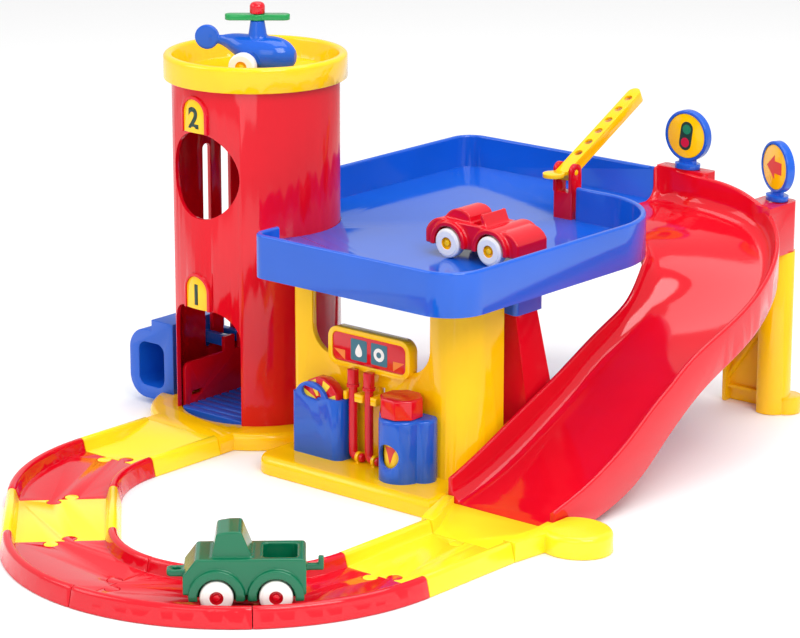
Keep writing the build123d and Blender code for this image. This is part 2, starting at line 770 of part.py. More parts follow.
with BuildPart() as deck_tray:
    with BuildSketch(Plane.XY.offset(deck_low)):
        add(deck_plan.sketch)
        offset(deck_plan.sketch, amount=-deck_wall, mode=Mode.SUBTRACT)
    extrude(amount=deck_rim_z - deck_low)
    fillet(deck_tray.faces().sort_by(Axis.Z)[-1].edges(), radius=deck_wall / 2 - 0.3)
    with BuildSketch(Plane.XY.offset(deck_under)):
        add(deck_plan.sketch)
    extrude(amount=deck_floor)
    with BuildSketch(Plane.XY.offset(deck_z)):
        with Locations((deck_step_x, (deck_step_y + deck_back - deck_wall) / 2)):
            Rectangle(3 * deck_wall, deck_back - deck_wall - deck_step_y)
        add(
            quad(
                (
                    (deck_front_left - 1, low_edge_end[1]),
                    (deck_front_left + deck_wall + 1, low_edge_end[1]),
                    (deck_front_left + deck_wall + 1, low_edge_end[1] + deck_wall),
                    (low_edge_start[0] + deck_wall, low_edge_start[1] + 2 * deck_wall),
                    (0, 0),
                )
            )
        )
    extrude(amount=2 * deck_rim, mode=Mode.SUBTRACT)
    with BuildSketch(Plane.XY.offset(socket_low)) as sockets:
        with Locations(
            (
                (plate_left - socket_grow + left_socket_right) / 2,
                (front_y + left_post_back) / 2,
            )
        ):
            Rectangle(
                left_socket_right - plate_left + socket_grow,
                left_post_back - front_y + 2 * socket_grow,
            )
        add(right_post_outline(socket_grow))
        offset(quad(side_leg_top), amount=socket_grow)
        with Locations((rear_leg_x, rear_leg_y)):
            Rectangle(rear_leg_top[0] + 2 * socket_grow, rear_leg_top[1] + 2 * socket_grow)
    extrude(amount=socket_depth)
    with BuildSketch(Plane.XY.offset(socket_low)):
        with Locations(((plate_left + left_post_right) / 2, (front_y + left_post_back) / 2)):
            Rectangle(
                left_post_right - plate_left + 2 * move_gap,
                left_post_back - front_y + 2 * move_gap,
            )
        add(right_post_outline(move_gap))
        offset(quad(side_leg_top), amount=move_gap)
        with Locations((rear_leg_x, rear_leg_y)):
            Rectangle(rear_leg_top[0] + 2 * move_gap, rear_leg_top[1] + 2 * move_gap)
    extrude(amount=socket_depth, mode=Mode.SUBTRACT)
    with BuildSketch(Plane.XY.offset(socket_low)):
        Circle(tower_radius + move_gap)
    extrude(amount=deck_rim_z, mode=Mode.SUBTRACT)
deck_tray.part.label = "deck_tray"
export_step(deck_tray.part, "parts/deck_tray.step")

# ================================================================ legs under the deck
leg_straight = socket_low


def behind(section):
    """Space behind the two outer faces of a leg, which meet at the section's second corner."""
    left, ridge, right = (Vector(*corner) for corner in section[:3])
    inner = ridge + Vector(-wall, wall)
    to_left, to_right = (left - ridge) * 1.8, (right - ridge) * 1.8
    corners = (inner + to_left, inner, inner + to_right, inner + to_left + to_right)
    return [(corner.X, corner.Y) for corner in corners]


with BuildPart() as side_leg:
    with BuildSketch():
        add(quad(side_leg_foot))
    with BuildSketch(Plane.XY.offset(leg_straight)):
        add(quad(side_leg_top))
    loft(ruled=True)
    with BuildSketch(Plane.XY.offset(leg_straight)):
        add(quad(side_leg_top))
    extrude(amount=wall_top - leg_straight)
    with BuildSketch():
        add(quad(behind(side_leg_foot)))
    with BuildSketch(Plane.XY.offset(leg_straight)):
        add(quad(behind(side_leg_top)))
    loft(ruled=True, mode=Mode.SUBTRACT)
    with BuildSketch(Plane.XY.offset(leg_straight)):
        add(quad(behind(side_leg_top)))
    extrude(amount=wall_top, mode=Mode.SUBTRACT)
side_leg.part.label = "side_leg"
export_step(side_leg.part, "parts/side_leg.step")

with BuildPart() as rear_leg:
    for section_z, (leg_width, leg_depth) in ((0, rear_leg_foot), (leg_straight, rear_leg_top)):
        with BuildSketch(Plane.XY.offset(section_z)):
            with Locations((rear_leg_x, rear_leg_y)):
                Rectangle(leg_width, leg_depth)
    loft(ruled=True)
    with BuildSketch(Plane.XY.offset(leg_straight)):
        with Locations((rear_leg_x, rear_leg_y)):
            Rectangle(*rear_leg_top)
    extrude(amount=wall_top - leg_straight)
    for section_z, (leg_width, leg_depth) in ((0, rear_leg_foot), (wall_top, rear_leg_top)):
        with BuildSketch(Plane.XY.offset(section_z)):
            with Locations((rear_leg_x, rear_leg_y + wall)):
                Rectangle(leg_width - 2 * wall, leg_depth)
    loft(ruled=True, mode=Mode.SUBTRACT)
rear_leg.part.label = "rear_leg"
export_step(rear_leg.part, "parts/rear_leg.step")

# ================================================================ slide leg
leg_rib = 1.6
with BuildPart() as slide_leg:
    with BuildSketch():
        with Locations((slide_leg_x, slide_leg_y)):
            Circle(slide_leg_radius)
            Circle(slide_leg_radius - wall, mode=Mode.SUBTRACT)
        with Locations((slide_leg_x - slide_leg_radius, slide_leg_y)):
            Rectangle(slide_leg_radius, 3 * slide_leg_radius, mode=Mode.SUBTRACT)
        with Locations(((slide_leg_web_left + slide_leg_x + slide_leg_radius - wall) / 2, slide_leg_web_y)):
            Rectangle(slide_leg_x + slide_leg_radius - wall / 2 - slide_leg_web_left, wall)
        with Locations((slide_leg_web_left, slide_leg_web_y - 2)):
            Rectangle(wall, 8)
    extrude(amount=block_2_low)
    with BuildSketch(Plane.XZ.offset(-slide_leg_web_y)):
        with BuildLine() as braces:
            Line((slide_leg_web_left, 8), (slide_leg_x, 8))
            Line((slide_leg_web_left, 12), (slide_leg_x - 6, 46))
            Line((slide_leg_x - 6, 46), (slide_leg_web_left, 80))
            Line((slide_leg_web_left, 84), (slide_leg_x, 84))
        trace(line_width=leg_rib)
    extrude(amount=4)
    with BuildSketch():
        with Locations(slide_leg_foot):
            Circle(slide_leg_foot_radius)
        with Locations((slide_leg_x, slide_leg_y)):
            Circle(slide_leg_radius - wall, mode=Mode.SUBTRACT)
    extrude(amount=slide_leg_foot_height)
slide_leg.part.label = "slide_leg"
export_step(slide_leg.part, "parts/slide_leg.step")

# ================================================================ slide
# Each station has the inner and the outer edge, the floor, both rims and the skirt's lower edge.
slide_stations = (
    ((chute_entry, 106.8), (chute_entry, deck_back), deck_z, 112.0, 125.4, 103.5),
    ((146.0, 107.3), (151.0, 171.9), 107.6, 112.5, 125.2, 103.2),
    ((157.0, 106.3), (171.5, 173.2), 106.0, 112.5, 123.3, 101.5),
    ((167.0, 102.9), (189.0, 174.0), 103.0, 111.0, 118.7, 98.5),
    ((174.4, 98.9), (204.5, 169.3), 98.5, 107.0, 112.7, 94.0),
    ((179.6, 94.6), (217.5, 159.0), 92.0, 101.5, 106.3, 88.0),
    ((180.4, 90.5), (227.0, 145.0), 85.0, 95.5, 99.0, 81.0),
    ((179.5, 86.6), (234.0, 127.5), 77.0, 87.5, 91.6, 73.0),
    ((178.0, 81.5), (238.5, 107.0), 68.8, 79.5, 84.0, 64.5),
    ((176.4, 73.5), (240.0, 85.0), 61.0, 73.3, 76.3, 56.5),
    ((175.4, 61.0), (240.0, 64.0), 54.0, 67.3, 69.3, 48.0),
    ((175.0, 43.0), (240.0, 43.0), 44.5, 58.7, 59.4, 36.0),
    ((175.0, 24.0), (240.0, 24.0), 34.5, 50.0, 48.8, 22.5),
    ((175.0, 8.0), (240.0, 8.0), 27.0, 43.5, 38.8, 12.5),
    ((175.0, -8.0), (240.0, -8.0), 20.0, 37.0, 30.2, 6.5),
    ((175.0, -24.0), (240.0, -24.0), 13.8, 30.2, 23.6, 2.8),
    ((175.0, -40.0), (240.0, -40.0), 9.0, 23.8, 18.5, 0.8),
    ((175.0, -55.0), (240.0, -55.0), 6.0, 18.5, 14.5, 0.3),
)


def chute_section(inner, outer, floor_z, inner_rim, outer_rim, skirt):
    """Cross-section of the slide: two walls with round rims, a floor with round corners, a skirt."""
    across = (Vector(*outer) - Vector(*inner)).normalized()
    width = (Vector(*outer) - Vector(*inner)).length
    top = chute_wall / 2
    far = width - chute_wall
    inner_round = min(chute_fillet, inner_rim - floor_z - chute_wall)
    outer_round = min(chute_fillet, outer_rim - floor_z - chute_wall)
    in_bite = inner_round * (1 - cos(radians(45)))
    out_bite = outer_round * (1 - cos(radians(45)))
    plane = Plane(origin=(*inner, 0), x_dir=across, z_dir=across.cross(Vector(0, 0, 1)))
    with BuildSketch(plane) as section:
        with BuildLine():
            Line((0, skirt), (0, inner_rim - top))
            ThreePointArc((0, inner_rim - top), (top, inner_rim), (chute_wall, inner_rim - top))
            Line((chute_wall, inner_rim - top), (chute_wall, floor_z + inner_round))
            ThreePointArc(
                (chute_wall, floor_z + inner_round),
                (chute_wall + in_bite, floor_z + in_bite),
                (chute_wall + inner_round, floor_z),
            )
            Line((chute_wall + inner_round, floor_z), (far - outer_round, floor_z))
            ThreePointArc(
                (far - outer_round, floor_z),
                (far - out_bite, floor_z + out_bite),
                (far, floor_z + outer_round),
            )
            Line((far, floor_z + outer_round), (far, outer_rim - top))
            ThreePointArc((far, outer_rim - top), (width - top, outer_rim), (width, outer_rim - top))
            Polyline(
                (width, outer_rim - top),
                (width, skirt),
                (far, skirt),
                (far, floor_z - chute_floor),
                (chute_wall, floor_z - chute_floor),
                (chute_wall, skirt),
                (0, skirt),
            )
        make_face()
    return section.sketch


chute_end = slide_stations[-1]
end_rounds = ((chute_end[0][0], chute_end[3], 8.0), (chute_end[1][0], chute_end[4], 6.0))
with BuildPart() as slide_chute:
    loft([chute_section(*station) for station in slide_stations])
    with BuildSketch(Plane.XY.offset(deck_low)):
        with Locations(((chute_entry + block_1_right) / 2, (deck_back + block_1_back) / 2 - 0.6)):
            RectangleRounded(block_1_right - chute_entry, block_1_back - deck_back + 1.2, 2)
    extrude(amount=block_1_top - deck_low)
    with BuildSketch(Plane.XY.offset(block_2_low)) as block_2:
        add(
            quad(
                (
                    (block_2_x[0], 172.6),
                    (block_2_x[1], 165.8),
                    (block_2_x[1], block_2_back),
                    (block_2_x[0], block_2_back),
                )
            )
        )
        fillet(block_2.vertices().group_by(Axis.Y)[-1], radius=5)
    extrude(amount=block_2_top - block_2_low)
    for place_x, place_y, place_z in road_sign_places:
        with BuildSketch(Plane.XY.offset(place_z - road_sign_pin_depth - 2 * move_gap)):
            with Locations((place_x, place_y)):
                Circle(road_sign_pin + pin_gap)
        extrude(amount=road_sign_pin_depth + 1, mode=Mode.SUBTRACT)
slide_chute.part.label = "slide_chute"
export_step(slide_chute.part, "parts/slide_chute.step")

# ================================================================ road signs
collar_height_sign = 2.6
for sign_number, (place, sign_angle) in enumerate(zip(road_sign_places, road_sign_angles), start=1):
    place_x, place_y, place_z = place
    look = facing(sign_angle, place_z + road_sign_height, place_x, place_y)
    foot = Plane(origin=(place_x, place_y, place_z + move_gap), x_dir=look.x_dir, z_dir=(0, 0, 1))
    with BuildPart() as sign_frame:
        with BuildSketch(look.offset(-road_sign_thickness / 2)):
            Circle(road_sign_radius)
        extrude(amount=road_sign_thickness)
        fillet(sign_frame.edges(), radius=0.8)
        with BuildSketch(foot.offset(collar_height_sign)):
            Ellipse(5.6, 2.3)
        extrude(amount=road_sign_height - road_sign_radius + 1)
        with BuildSketch(foot):
            Ellipse(7.3, 5.4)
        extrude(amount=collar_height_sign)
        with BuildSketch(look.offset(road_sign_thickness / 2)):
            Circle(road_sign_face)
        extrude(amount=-road_sign_face_depth - move_gap, mode=Mode.SUBTRACT)
        with BuildSketch(foot.offset(-road_sign_pin_depth)):
            Circle(road_sign_pin)
        extrude(amount=road_sign_pin_depth)
    sign_frame.part.label = f"sign_{sign_number}_frame"
    export_step(sign_frame.part, f"parts/sign_{sign_number}_frame.step")
    with BuildPart() as sign_face:
        with BuildSketch(look.offset(road_sign_thickness / 2 - road_sign_face_depth - move_gap)):
            Circle(road_sign_face - seat_gap)
        extrude(amount=road_sign_face_depth)
    sign_face.part.label = f"sign_{sign_number}_face"
    export_step(sign_face.part, f"parts/sign_{sign_number}_face.step")

# ================================================================ barrier
cheek_height = barrier_top_z - barrier_saddle_z
cheek_x = barrier_post_width / 2 - barrier_cheek
arm_width = barrier_post_width - 2 * barrier_cheek - 2 * move_gap
with BuildPart() as barrier_post:
    with BuildSketch(Plane.XY.offset(deck_z)):
        with Locations((barrier_x, barrier_y)):
            RectangleRounded(barrier_post_width, barrier_post_depth, 1)
    extrude(amount=barrier_saddle_z - deck_z)
    for cheek_from in (barrier_x - barrier_post_width / 2, barrier_x + cheek_x):
        with BuildSketch(facing(0, barrier_saddle_z, cheek_from, barrier_y)):
            add(arch_outline(barrier_post_depth, cheek_height))
            with Locations((0, barrier_pivot_z - barrier_saddle_z)):
                Circle(barrier_pin_radius + pin_gap, mode=Mode.SUBTRACT)
        extrude(amount=barrier_cheek)
barrier_post.part.label = "barrier_post"
export_step(barrier_post.part, "parts/barrier_post.step")

with BuildPart() as barrier_pin:
    with BuildSketch(facing(0, barrier_pivot_z, barrier_x - barrier_post_width / 2, barrier_y)):
        Circle(barrier_pin_radius)
    extrude(amount=barrier_post_width)
barrier_pin.part.label = "barrier_pin"
export_step(barrier_pin.part, "parts/barrier_pin.step")

rise = radians(barrier_angle)
arm_axis = Plane(
    origin=(barrier_x, barrier_y, barrier_pivot_z),
    x_dir=(0, cos(rise), sin(rise)),
    z_dir=(0, -sin(rise), cos(rise)),
)
arm_heel = 4.0
arm_skin = 1.4
arm_channel = (8.0, barrier_length - 3.0)
arm_straight = barrier_length - arm_width / 2
with BuildPart() as barrier_arm:
    with BuildSketch(arm_axis.offset(-barrier_arm_depth / 2)):
        with Locations(((arm_straight - arm_heel) / 2, 0)):
            Rectangle(arm_straight + arm_heel, arm_width)
        with Locations((arm_straight, 0)):
            Circle(arm_width / 2)
    extrude(amount=barrier_arm_depth)
    with BuildSketch(arm_axis.offset(-barrier_arm_depth / 2)):
        with Locations((sum(arm_channel) / 2, 0)):
            SlotOverall(arm_channel[1] - arm_channel[0], arm_width - 2 * arm_skin)
    extrude(amount=barrier_arm_depth - arm_skin, mode=Mode.SUBTRACT)
    with BuildSketch(arm_axis.offset(barrier_arm_depth / 2)):
        with Locations(*[(12 + step * barrier_hole_pitch, 0) for step in range(barrier_hole_count)]):
            Circle(barrier_hole_radius)
    extrude(amount=-2 * arm_skin, mode=Mode.SUBTRACT)
    paddle_low = barrier_pivot_z - paddle_thickness / 2
    with BuildSketch(Plane.XY.offset(paddle_low)):
        with Locations((barrier_x, barrier_y - paddle_middle)):
            Ellipse(paddle_width / 2, paddle_length / 2)
        with Locations((barrier_x, barrier_y - paddle_middle / 2)):
            Rectangle(arm_width - 1, paddle_middle)
    extrude(amount=paddle_thickness)
    with BuildSketch(facing(0, barrier_pivot_z, barrier_x - barrier_post_width / 2, barrier_y)):
        Circle(barrier_pin_radius + pin_gap)
    extrude(amount=barrier_post_width, mode=Mode.SUBTRACT)
barrier_arm.part.label = "barrier_arm"
export_step(barrier_arm.part, "parts/barrier_arm.step")

# ================================================================ road
kerb_neck_z = 7.3
kerb_outer = 26.8
kerb_inner = 22.2
road_under = road_floor - road_thickness


def half_road(side):
    """Outline of one half of the road's cross-section: half a thin floor and a round kerb."""
    Line((side * kerb_foot, 0), (side * kerb_outer, kerb_neck_z))
    ThreePointArc(
        (side * kerb_outer, kerb_neck_z),
        (side * kerb_ridge, kerb_top),
        (side * kerb_inner, kerb_neck_z),
    )
    Line((side * kerb_inner, kerb_neck_z), (side * lane_half, road_floor))
    Polyline((side * kerb_foot, 0), (side * lane_half, 0), (side * lane_half, road_under))


with BuildSketch() as road_outline:
    with BuildLine():
        half_road(-1)
        half_road(1)
        Line((-lane_half, road_floor), (lane_half, road_floor))
        Line((-lane_half, road_under), (lane_half, road_under))
    make_face()


def joint_outline(x, y, heading, height, reach, side, grow):
    """Round knob and its neck, laid flat beside the middle of a road's end."""
    turn = radians(heading)
    flat = Plane(origin=(x, y, height), x_dir=(cos(turn), sin(turn), 0), z_dir=(0, 0, 1))
    with BuildSketch(flat) as outline:
        with Locations((reach, side * knob_offset)):
            Circle(knob_radius + grow)
        with Locations((0, side * knob_offset)):
            Rectangle(2 * knob_reach, knob_neck + 2 * grow)
    return outline.sketch


def joined(road, ends):
    """Road piece with a knob and a socket at each of its joined ends."""
    with BuildPart() as finished:
        add(road)
        for x, y, heading in ends:
            add(joint_outline(x, y, heading, 0, -knob_reach, 1, knob_gap))
            extrude(amount=road_floor, mode=Mode.SUBTRACT)
            add(joint_outline(x, y, heading, road_under, knob_reach, -1, 0))
            extrude(amount=road_thickness)
    return finished.part


def along(x, y, heading, distance):
    """Place and heading at a distance straight on."""
    turn = radians(heading)
    return (x + distance * cos(turn), y + distance * sin(turn), heading)


def around(centre, start_angle, angle):
    """Place and heading after a left-hand bend about a centre."""
    turn = radians(start_angle + angle)
    return (
        centre[0] + curve_radius * cos(turn),
        centre[1] + curve_radius * sin(turn),
        start_angle + angle + 90,
    )


def turned_back(end):
    """The same end, looking the other way."""
    x, y, heading = end
    return (x, y, heading + 180)


# Seams of the road, from the tower round to the slide.
centre_1 = (curve_radius, tower_road_end)
seam_1 = (0, tower_road_end, -90)
seam_2 = around(centre_1, 180, curve_angle)
seam_3 = along(*seam_2, straight_length)
big_turn = radians(seam_3[2] + 90)
centre_2 = (seam_3[0] + curve_radius * cos(big_turn), seam_3[1] + curve_radius * sin(big_turn))
seam_4 = around(centre_2, 180 + curve_angle, curve_angle)
seam_5 = around(centre_2, 180 + 2 * curve_angle, curve_angle)
seam_6 = around(centre_2, 180 + 3 * curve_angle, curve_angle)
seam_7 = along(*seam_6, straight_length)

with BuildPart() as tower_road_blank:
    with BuildSketch(facing(-90, 0, 0, stub_front - seam_gap)):
        add(road_outline.sketch)
    extrude(amount=stub_front - seam_gap - tower_road_end - seam_gap / 2)
    with BuildSketch(Plane.YZ.offset(-kerb_inner)):
        with BuildLine():
            Polyline(
                (stub_front - seam_gap, road_floor - road_thickness / 2),
                (stub_front - seam_gap, base_height),
                (ramp_end, road_floor),
                (ramp_end, road_floor - road_thickness / 2),
                close=True,
            )
        make_face()
    extrude(amount=2 * kerb_inner)
with BuildPart() as road_tower:
    add(joined(tower_road_blank.part, (seam_1,)))
road_tower.part.label = "road_tower"
export_step(road_tower.part, "parts/road_tower.step")

trim_angle = degrees(seam_gap / 2 / curve_radius)
road_curves = ((1, centre_1, seam_1, seam_2), (2, centre_2, seam_3, seam_4))
road_curves += ((3, centre_2, seam_4, seam_5), (4, centre_2, seam_5, seam_6))
for curve_number, centre, seam_in, seam_out in road_curves:
    start_x, start_y, start_heading = around(centre, seam_in[2] - 90, trim_angle)
    with BuildPart() as curve_blank:
        with BuildSketch(facing(start_heading, 0, start_x, start_y)):
            add(road_outline.sketch)
        revolve(
            axis=Axis((*centre, 0), (0, 0, 1)),
            revolution_arc=curve_angle - 2 * trim_angle,
        )
    with BuildPart() as road_curve:
        add(joined(curve_blank.part, (turned_back(seam_in), seam_out)))
    road_curve.part.label = f"road_curve_{curve_number}"
    export_step(road_curve.part, f"parts/road_curve_{curve_number}.step")

for straight_name, seam_in, seam_out in (("straight", seam_2, seam_3), ("slide", seam_6, seam_7)):
    start_x, start_y, start_heading = along(*seam_in, seam_gap / 2)
    with BuildPart() as straight_blank:
        with BuildSketch(facing(start_heading, 0, start_x, start_y)):
            add(road_outline.sketch)
        extrude(amount=straight_length - seam_gap)
    with BuildPart() as road_straight:
        add(joined(straight_blank.part, (turned_back(seam_in), seam_out)))
    road_straight.part.label = f"road_{straight_name}"
    export_step(road_straight.part, f"parts/road_{straight_name}.step")

# ================================================================ slide apron
apron_start_y = seam_7[1] + seam_gap / 2
apron_x = seam_7[0]
apron_clear = chute_end[1][0] + move_gap
lane_left = ((190.0, -78.0), (183.5, -66.0), (179.0, apron_end_y))
lane_right = ((236.0, apron_end_y), (237.5, -68.0))
with BuildPart() as apron_blank:
    with BuildSketch(Plane.YZ.offset(apron_x - 2 * lane_half)):
        with BuildLine():
            Polyline(
                (apron_start_y, road_under),
                (apron_start_y, road_floor),
                (apron_end_y, apron_end_z),
                (apron_end_y, road_under),
                close=True,
            )
        make_face()
    extrude(amount=4 * lane_half)
    with BuildSketch():
        add(
            quad(
                (
                    (apron_x - lane_half, apron_start_y),
                    *lane_left,
                    *lane_right,
                    (apron_x + lane_half, apron_start_y),
                )
            )
        )
    extrude(amount=apron_kerb, mode=Mode.INTERSECT)
    with BuildSketch():
        add(
            quad(
                (
                    (apron_x - kerb_foot, apron_start_y),
                    (182.6, -80.0),
                    (177.5, -66.0),
                    (plate_right + move_gap, -59.0),
                    (plate_right + move_gap, apron_end_y),
                    *reversed(lane_left),
                    (apron_x - lane_half, apron_start_y),
                )
            )
        )
        add(
            quad(
                (
                    (apron_x + kerb_foot, apron_start_y),
                    (246.0, -68.0),
                    (242.5, -52.0),
                    (apron_clear, -52.0),
                    (apron_clear, apron_end_y),
                    *lane_right,
                    (apron_x + lane_half, apron_start_y),
                )
            )
        )
    extrude(amount=apron_kerb)
    with BuildSketch():
        with Locations(apron_foot):
            Ellipse(*apron_foot_size)
        with Locations((apron_clear + 0.6 - apron_foot_size[0], apron_foot[1])):
            Rectangle(2 * apron_foot_size[0], 3 * apron_foot_size[1], mode=Mode.SUBTRACT)
    extrude(amount=apron_foot_height)
    fillet(apron_blank.faces().sort_by(Axis.Z)[-1].edges().filter_by(GeomType.ELLIPSE), radius=3)
with BuildPart() as slide_apron:
    add(joined(apron_blank.part, (turned_back(seam_7),)))
slide_apron.part.label = "slide_apron"
export_step(slide_apron.part, "parts/slide_apron.step")

# ================================================================ wheels of the toys
axle_z = toy_wheel_radius + move_gap
rotor_low = 29.5
helicopter_axle_z = helicopter_wheel_radius + move_gap
toy_axles = (
    ("pickup_front", pickup_place, pickup_heading, toy_wheelbase / 2, toy_wheel_radius),
    ("pickup_rear", pickup_place, pickup_heading, -toy_wheelbase / 2, toy_wheel_radius),
    ("car_front", car_place, car_heading, toy_wheelbase / 2, toy_wheel_radius),
    ("car_rear", car_place, car_heading, -toy_wheelbase / 2, toy_wheel_radius),
    ("helicopter", helicopter_place, helicopter_heading, helicopter_axle_x, helicopter_wheel_radius),
)


def beside(place, heading, out=0.0):
    """Upright plane along a toy, seen from its right side, at a distance from its middle."""
    x, y, z = place
    return facing(heading - 90, z, x, y).offset(out)


for axle_name, place, heading, axle_x, wheel_size in toy_axles:
    axle_spot = (axle_x, wheel_size + move_gap)
    inner_face = toy_track / 2 - toy_wheel_width
    with BuildPart() as axle:
        with BuildSketch(beside(place, heading, -inner_face)):
            with Locations(axle_spot):
                Circle(toy_axle_radius)
        extrude(amount=2 * inner_face)
        for side_face in (inner_face, -inner_face - toy_wheel_width):
            with BuildSketch(beside(place, heading, side_face)):
                with Locations(axle_spot):
                    Circle(toy_hub_radius)
            extrude(amount=toy_wheel_width)
        for side_face, dish in ((inner_face + toy_wheel_width, -1.5), (-inner_face - toy_wheel_width, 1.5)):
            with BuildSketch(beside(place, heading, side_face)):
                with Locations(axle_spot):
                    Circle(toy_hub_radius - 1)
                    Circle(toy_axle_radius, mode=Mode.SUBTRACT)
            extrude(amount=dish, mode=Mode.SUBTRACT)
    axle.part.label = f"{axle_name}_axle"
    export_step(axle.part, f"parts/{axle_name}_axle.step")
    for side_name, side_face in (("right", inner_face), ("left", -inner_face - toy_wheel_width)):
        with BuildPart() as tyre:
            with BuildSketch(beside(place, heading, side_face)):
                with Locations(axle_spot):
                    Circle(wheel_size)
            extrude(amount=toy_wheel_width)
            fillet(tyre.edges(), radius=1.2)
            with BuildSketch(beside(place, heading, side_face)):
                with Locations(axle_spot):
                    Circle(toy_hub_radius)
            extrude(amount=toy_wheel_width, mode=Mode.SUBTRACT)
        tyre.part.label = f"{axle_name}_tyre_{side_name}"
        export_step(tyre.part, f"parts/{axle_name}_tyre_{side_name}.step")

# ================================================================ pickup
fender_out = toy_track / 2
well_in = toy_track / 2 - toy_wheel_width - move_gap
well_radius = toy_wheel_radius + 1.0
fender_radius = 12.5
chassis_half = well_in - move_gap
front_axle = (toy_wheelbase / 2, axle_z)
rear_axle = (-toy_wheelbase / 2, axle_z)
pickup_half = 13.0
pickup_cab_half = 10.0
pickup_belt = 25.0
pickup_bed = (-22.5, -7.5)
with BuildPart() as pickup_body:
    with BuildSketch(beside(pickup_place, pickup_heading, -pickup_half)) as side_view:
        with BuildLine():
            Polyline(
                (-26.5, 8.5),
                (28, 8.5),
                (28, 17),
                (22, pickup_belt),
                (-26.5, pickup_belt),
                close=True,
            )
        make_face()
        fillet(side_view.vertices().group_by(Axis.Y)[-1], radius=2)
    extrude(amount=2 * pickup_half)
    with BuildSketch(beside(pickup_place, pickup_heading, -fender_out)):
        with Locations(front_axle, rear_axle):
            Circle(fender_radius)
        with Locations((0, pickup_belt / 2 - pickup_belt + 6)):
            Rectangle(4 * toy_wheelbase, pickup_belt, mode=Mode.SUBTRACT)
    extrude(amount=2 * fender_out)
    with BuildSketch(beside(pickup_place, pickup_heading, -pickup_cab_half)) as cab_view:
        with BuildLine():
            Polyline((15.5, 23), (13, 35.8), (7, 36.8), (2, 36.8), (-3.5, 23), close=True)
        make_face()
        fillet(cab_view.vertices().sort_by(Axis.Y)[-3:], radius=1.5)
    extrude(amount=2 * pickup_cab_half)
    with BuildSketch(Plane.XY.offset(pickup_place[2] + pickup_belt)):
        with Locations(along(*pickup_place[:2], pickup_heading, sum(pickup_bed) / 2)[:2]):
            RectangleRounded(pickup_bed[1] - pickup_bed[0], 19, 2, rotation=pickup_heading)
    extrude(amount=-10, mode=Mode.SUBTRACT)
    with BuildSketch(beside(pickup_place, pickup_heading, well_in)):
        with Locations(front_axle, rear_axle):
            Circle(well_radius)
    extrude(amount=toy_wheel_width + 1, mode=Mode.SUBTRACT)
    with BuildSketch(beside(pickup_place, pickup_heading, -well_in)):
        with Locations(front_axle, rear_axle):
            Circle(well_radius)
    extrude(amount=-toy_wheel_width - 1, mode=Mode.SUBTRACT)
    with BuildSketch(beside(pickup_place, pickup_heading, -chassis_half)):
        with Locations((0, 8)):
            Rectangle(toy_wheelbase + 10, 7)
    extrude(amount=2 * chassis_half)
    with BuildSketch(Plane.XY.offset(pickup_place[2] + 14)):
        with Locations(along(*pickup_place[:2], pickup_heading, 31)[:2]):
            RectangleRounded(9, 8, 2.5, rotation=pickup_heading)
            Circle(2, mode=Mode.SUBTRACT)
    extrude(amount=3)
    with BuildSketch(beside(pickup_place, pickup_heading, -1.5)):
        with Locations((-30, 17)):
            Rectangle(8, 3)
        with Locations((-33, 19)):
            Rectangle(2.5, 6)
    extrude(amount=3)
    with BuildSketch(beside(pickup_place, pickup_heading, -fender_out)):
        with Locations(front_axle, rear_axle):
            Circle(toy_axle_radius + pin_gap)
    extrude(amount=2 * fender_out, mode=Mode.SUBTRACT)
pickup_body.part.label = "pickup_body"
export_step(pickup_body.part, "parts/pickup_body.step")

# ================================================================ car
car_half = 12.0
car_bottom = 5.5
with BuildPart() as car_body:
    with BuildSketch(beside(car_place, car_heading, -car_half)) as side_view:
        with BuildLine():
            Polyline((-29, car_bottom), (29, car_bottom), (29, 12))
            ThreePointArc((29, 12), (25.5, 16), (17, 17.5))
            Line((17, 17.5), (4, 18.5))
            Line((4, 18.5), (-16, 19))
            ThreePointArc((-16, 19), (-25, 17.3), (-29, 12))
            Line((-29, 12), (-29, car_bottom))
        make_face()
    extrude(amount=2 * car_half)
    with BuildSketch(beside(car_place, car_heading, -fender_out)):
        with Locations(front_axle, rear_axle):
            Circle(fender_radius - 1.5)
        with Locations((0, -6)):
            Rectangle(4 * toy_wheelbase, 24, mode=Mode.SUBTRACT)
    extrude(amount=2 * fender_out)
    with BuildSketch(beside(car_place, car_heading, -9)):
        with BuildLine():
            Line((-20, 17), (-2, 17))
            Line((-2, 17), (-3.5, 22))
            ThreePointArc((-3.5, 22), (-11, 24.6), (-20, 17))
        make_face()
    extrude(amount=18)
    with BuildSketch(beside(car_place, car_heading, -9.5)):
        with BuildLine():
            Polyline((8, 17), (5, 24), (3.2, 24), (4.5, 17), close=True)
        make_face()
    extrude(amount=19)
    with BuildSketch(Plane.XY.offset(car_place[2] + 30)):
        with Locations(along(*car_place[:2], car_heading, 1)[:2]):
            RectangleRounded(6, 17, 1.5, rotation=car_heading)
    extrude(amount=-15, mode=Mode.SUBTRACT)
    with BuildSketch(beside(car_place, car_heading, well_in)):
        with Locations(front_axle, rear_axle):
            Circle(well_radius)
    extrude(amount=toy_wheel_width + 1, mode=Mode.SUBTRACT)
    with BuildSketch(beside(car_place, car_heading, -well_in)):
        with Locations(front_axle, rear_axle):
            Circle(well_radius)
    extrude(amount=-toy_wheel_width - 1, mode=Mode.SUBTRACT)
    with BuildSketch(beside(car_place, car_heading, -fender_out)):
        with Locations(front_axle, rear_axle):
            Circle(toy_axle_radius + pin_gap)
    extrude(amount=2 * fender_out, mode=Mode.SUBTRACT)
car_body.part.label = "car_body"
export_step(car_body.part, "parts/car_body.step")

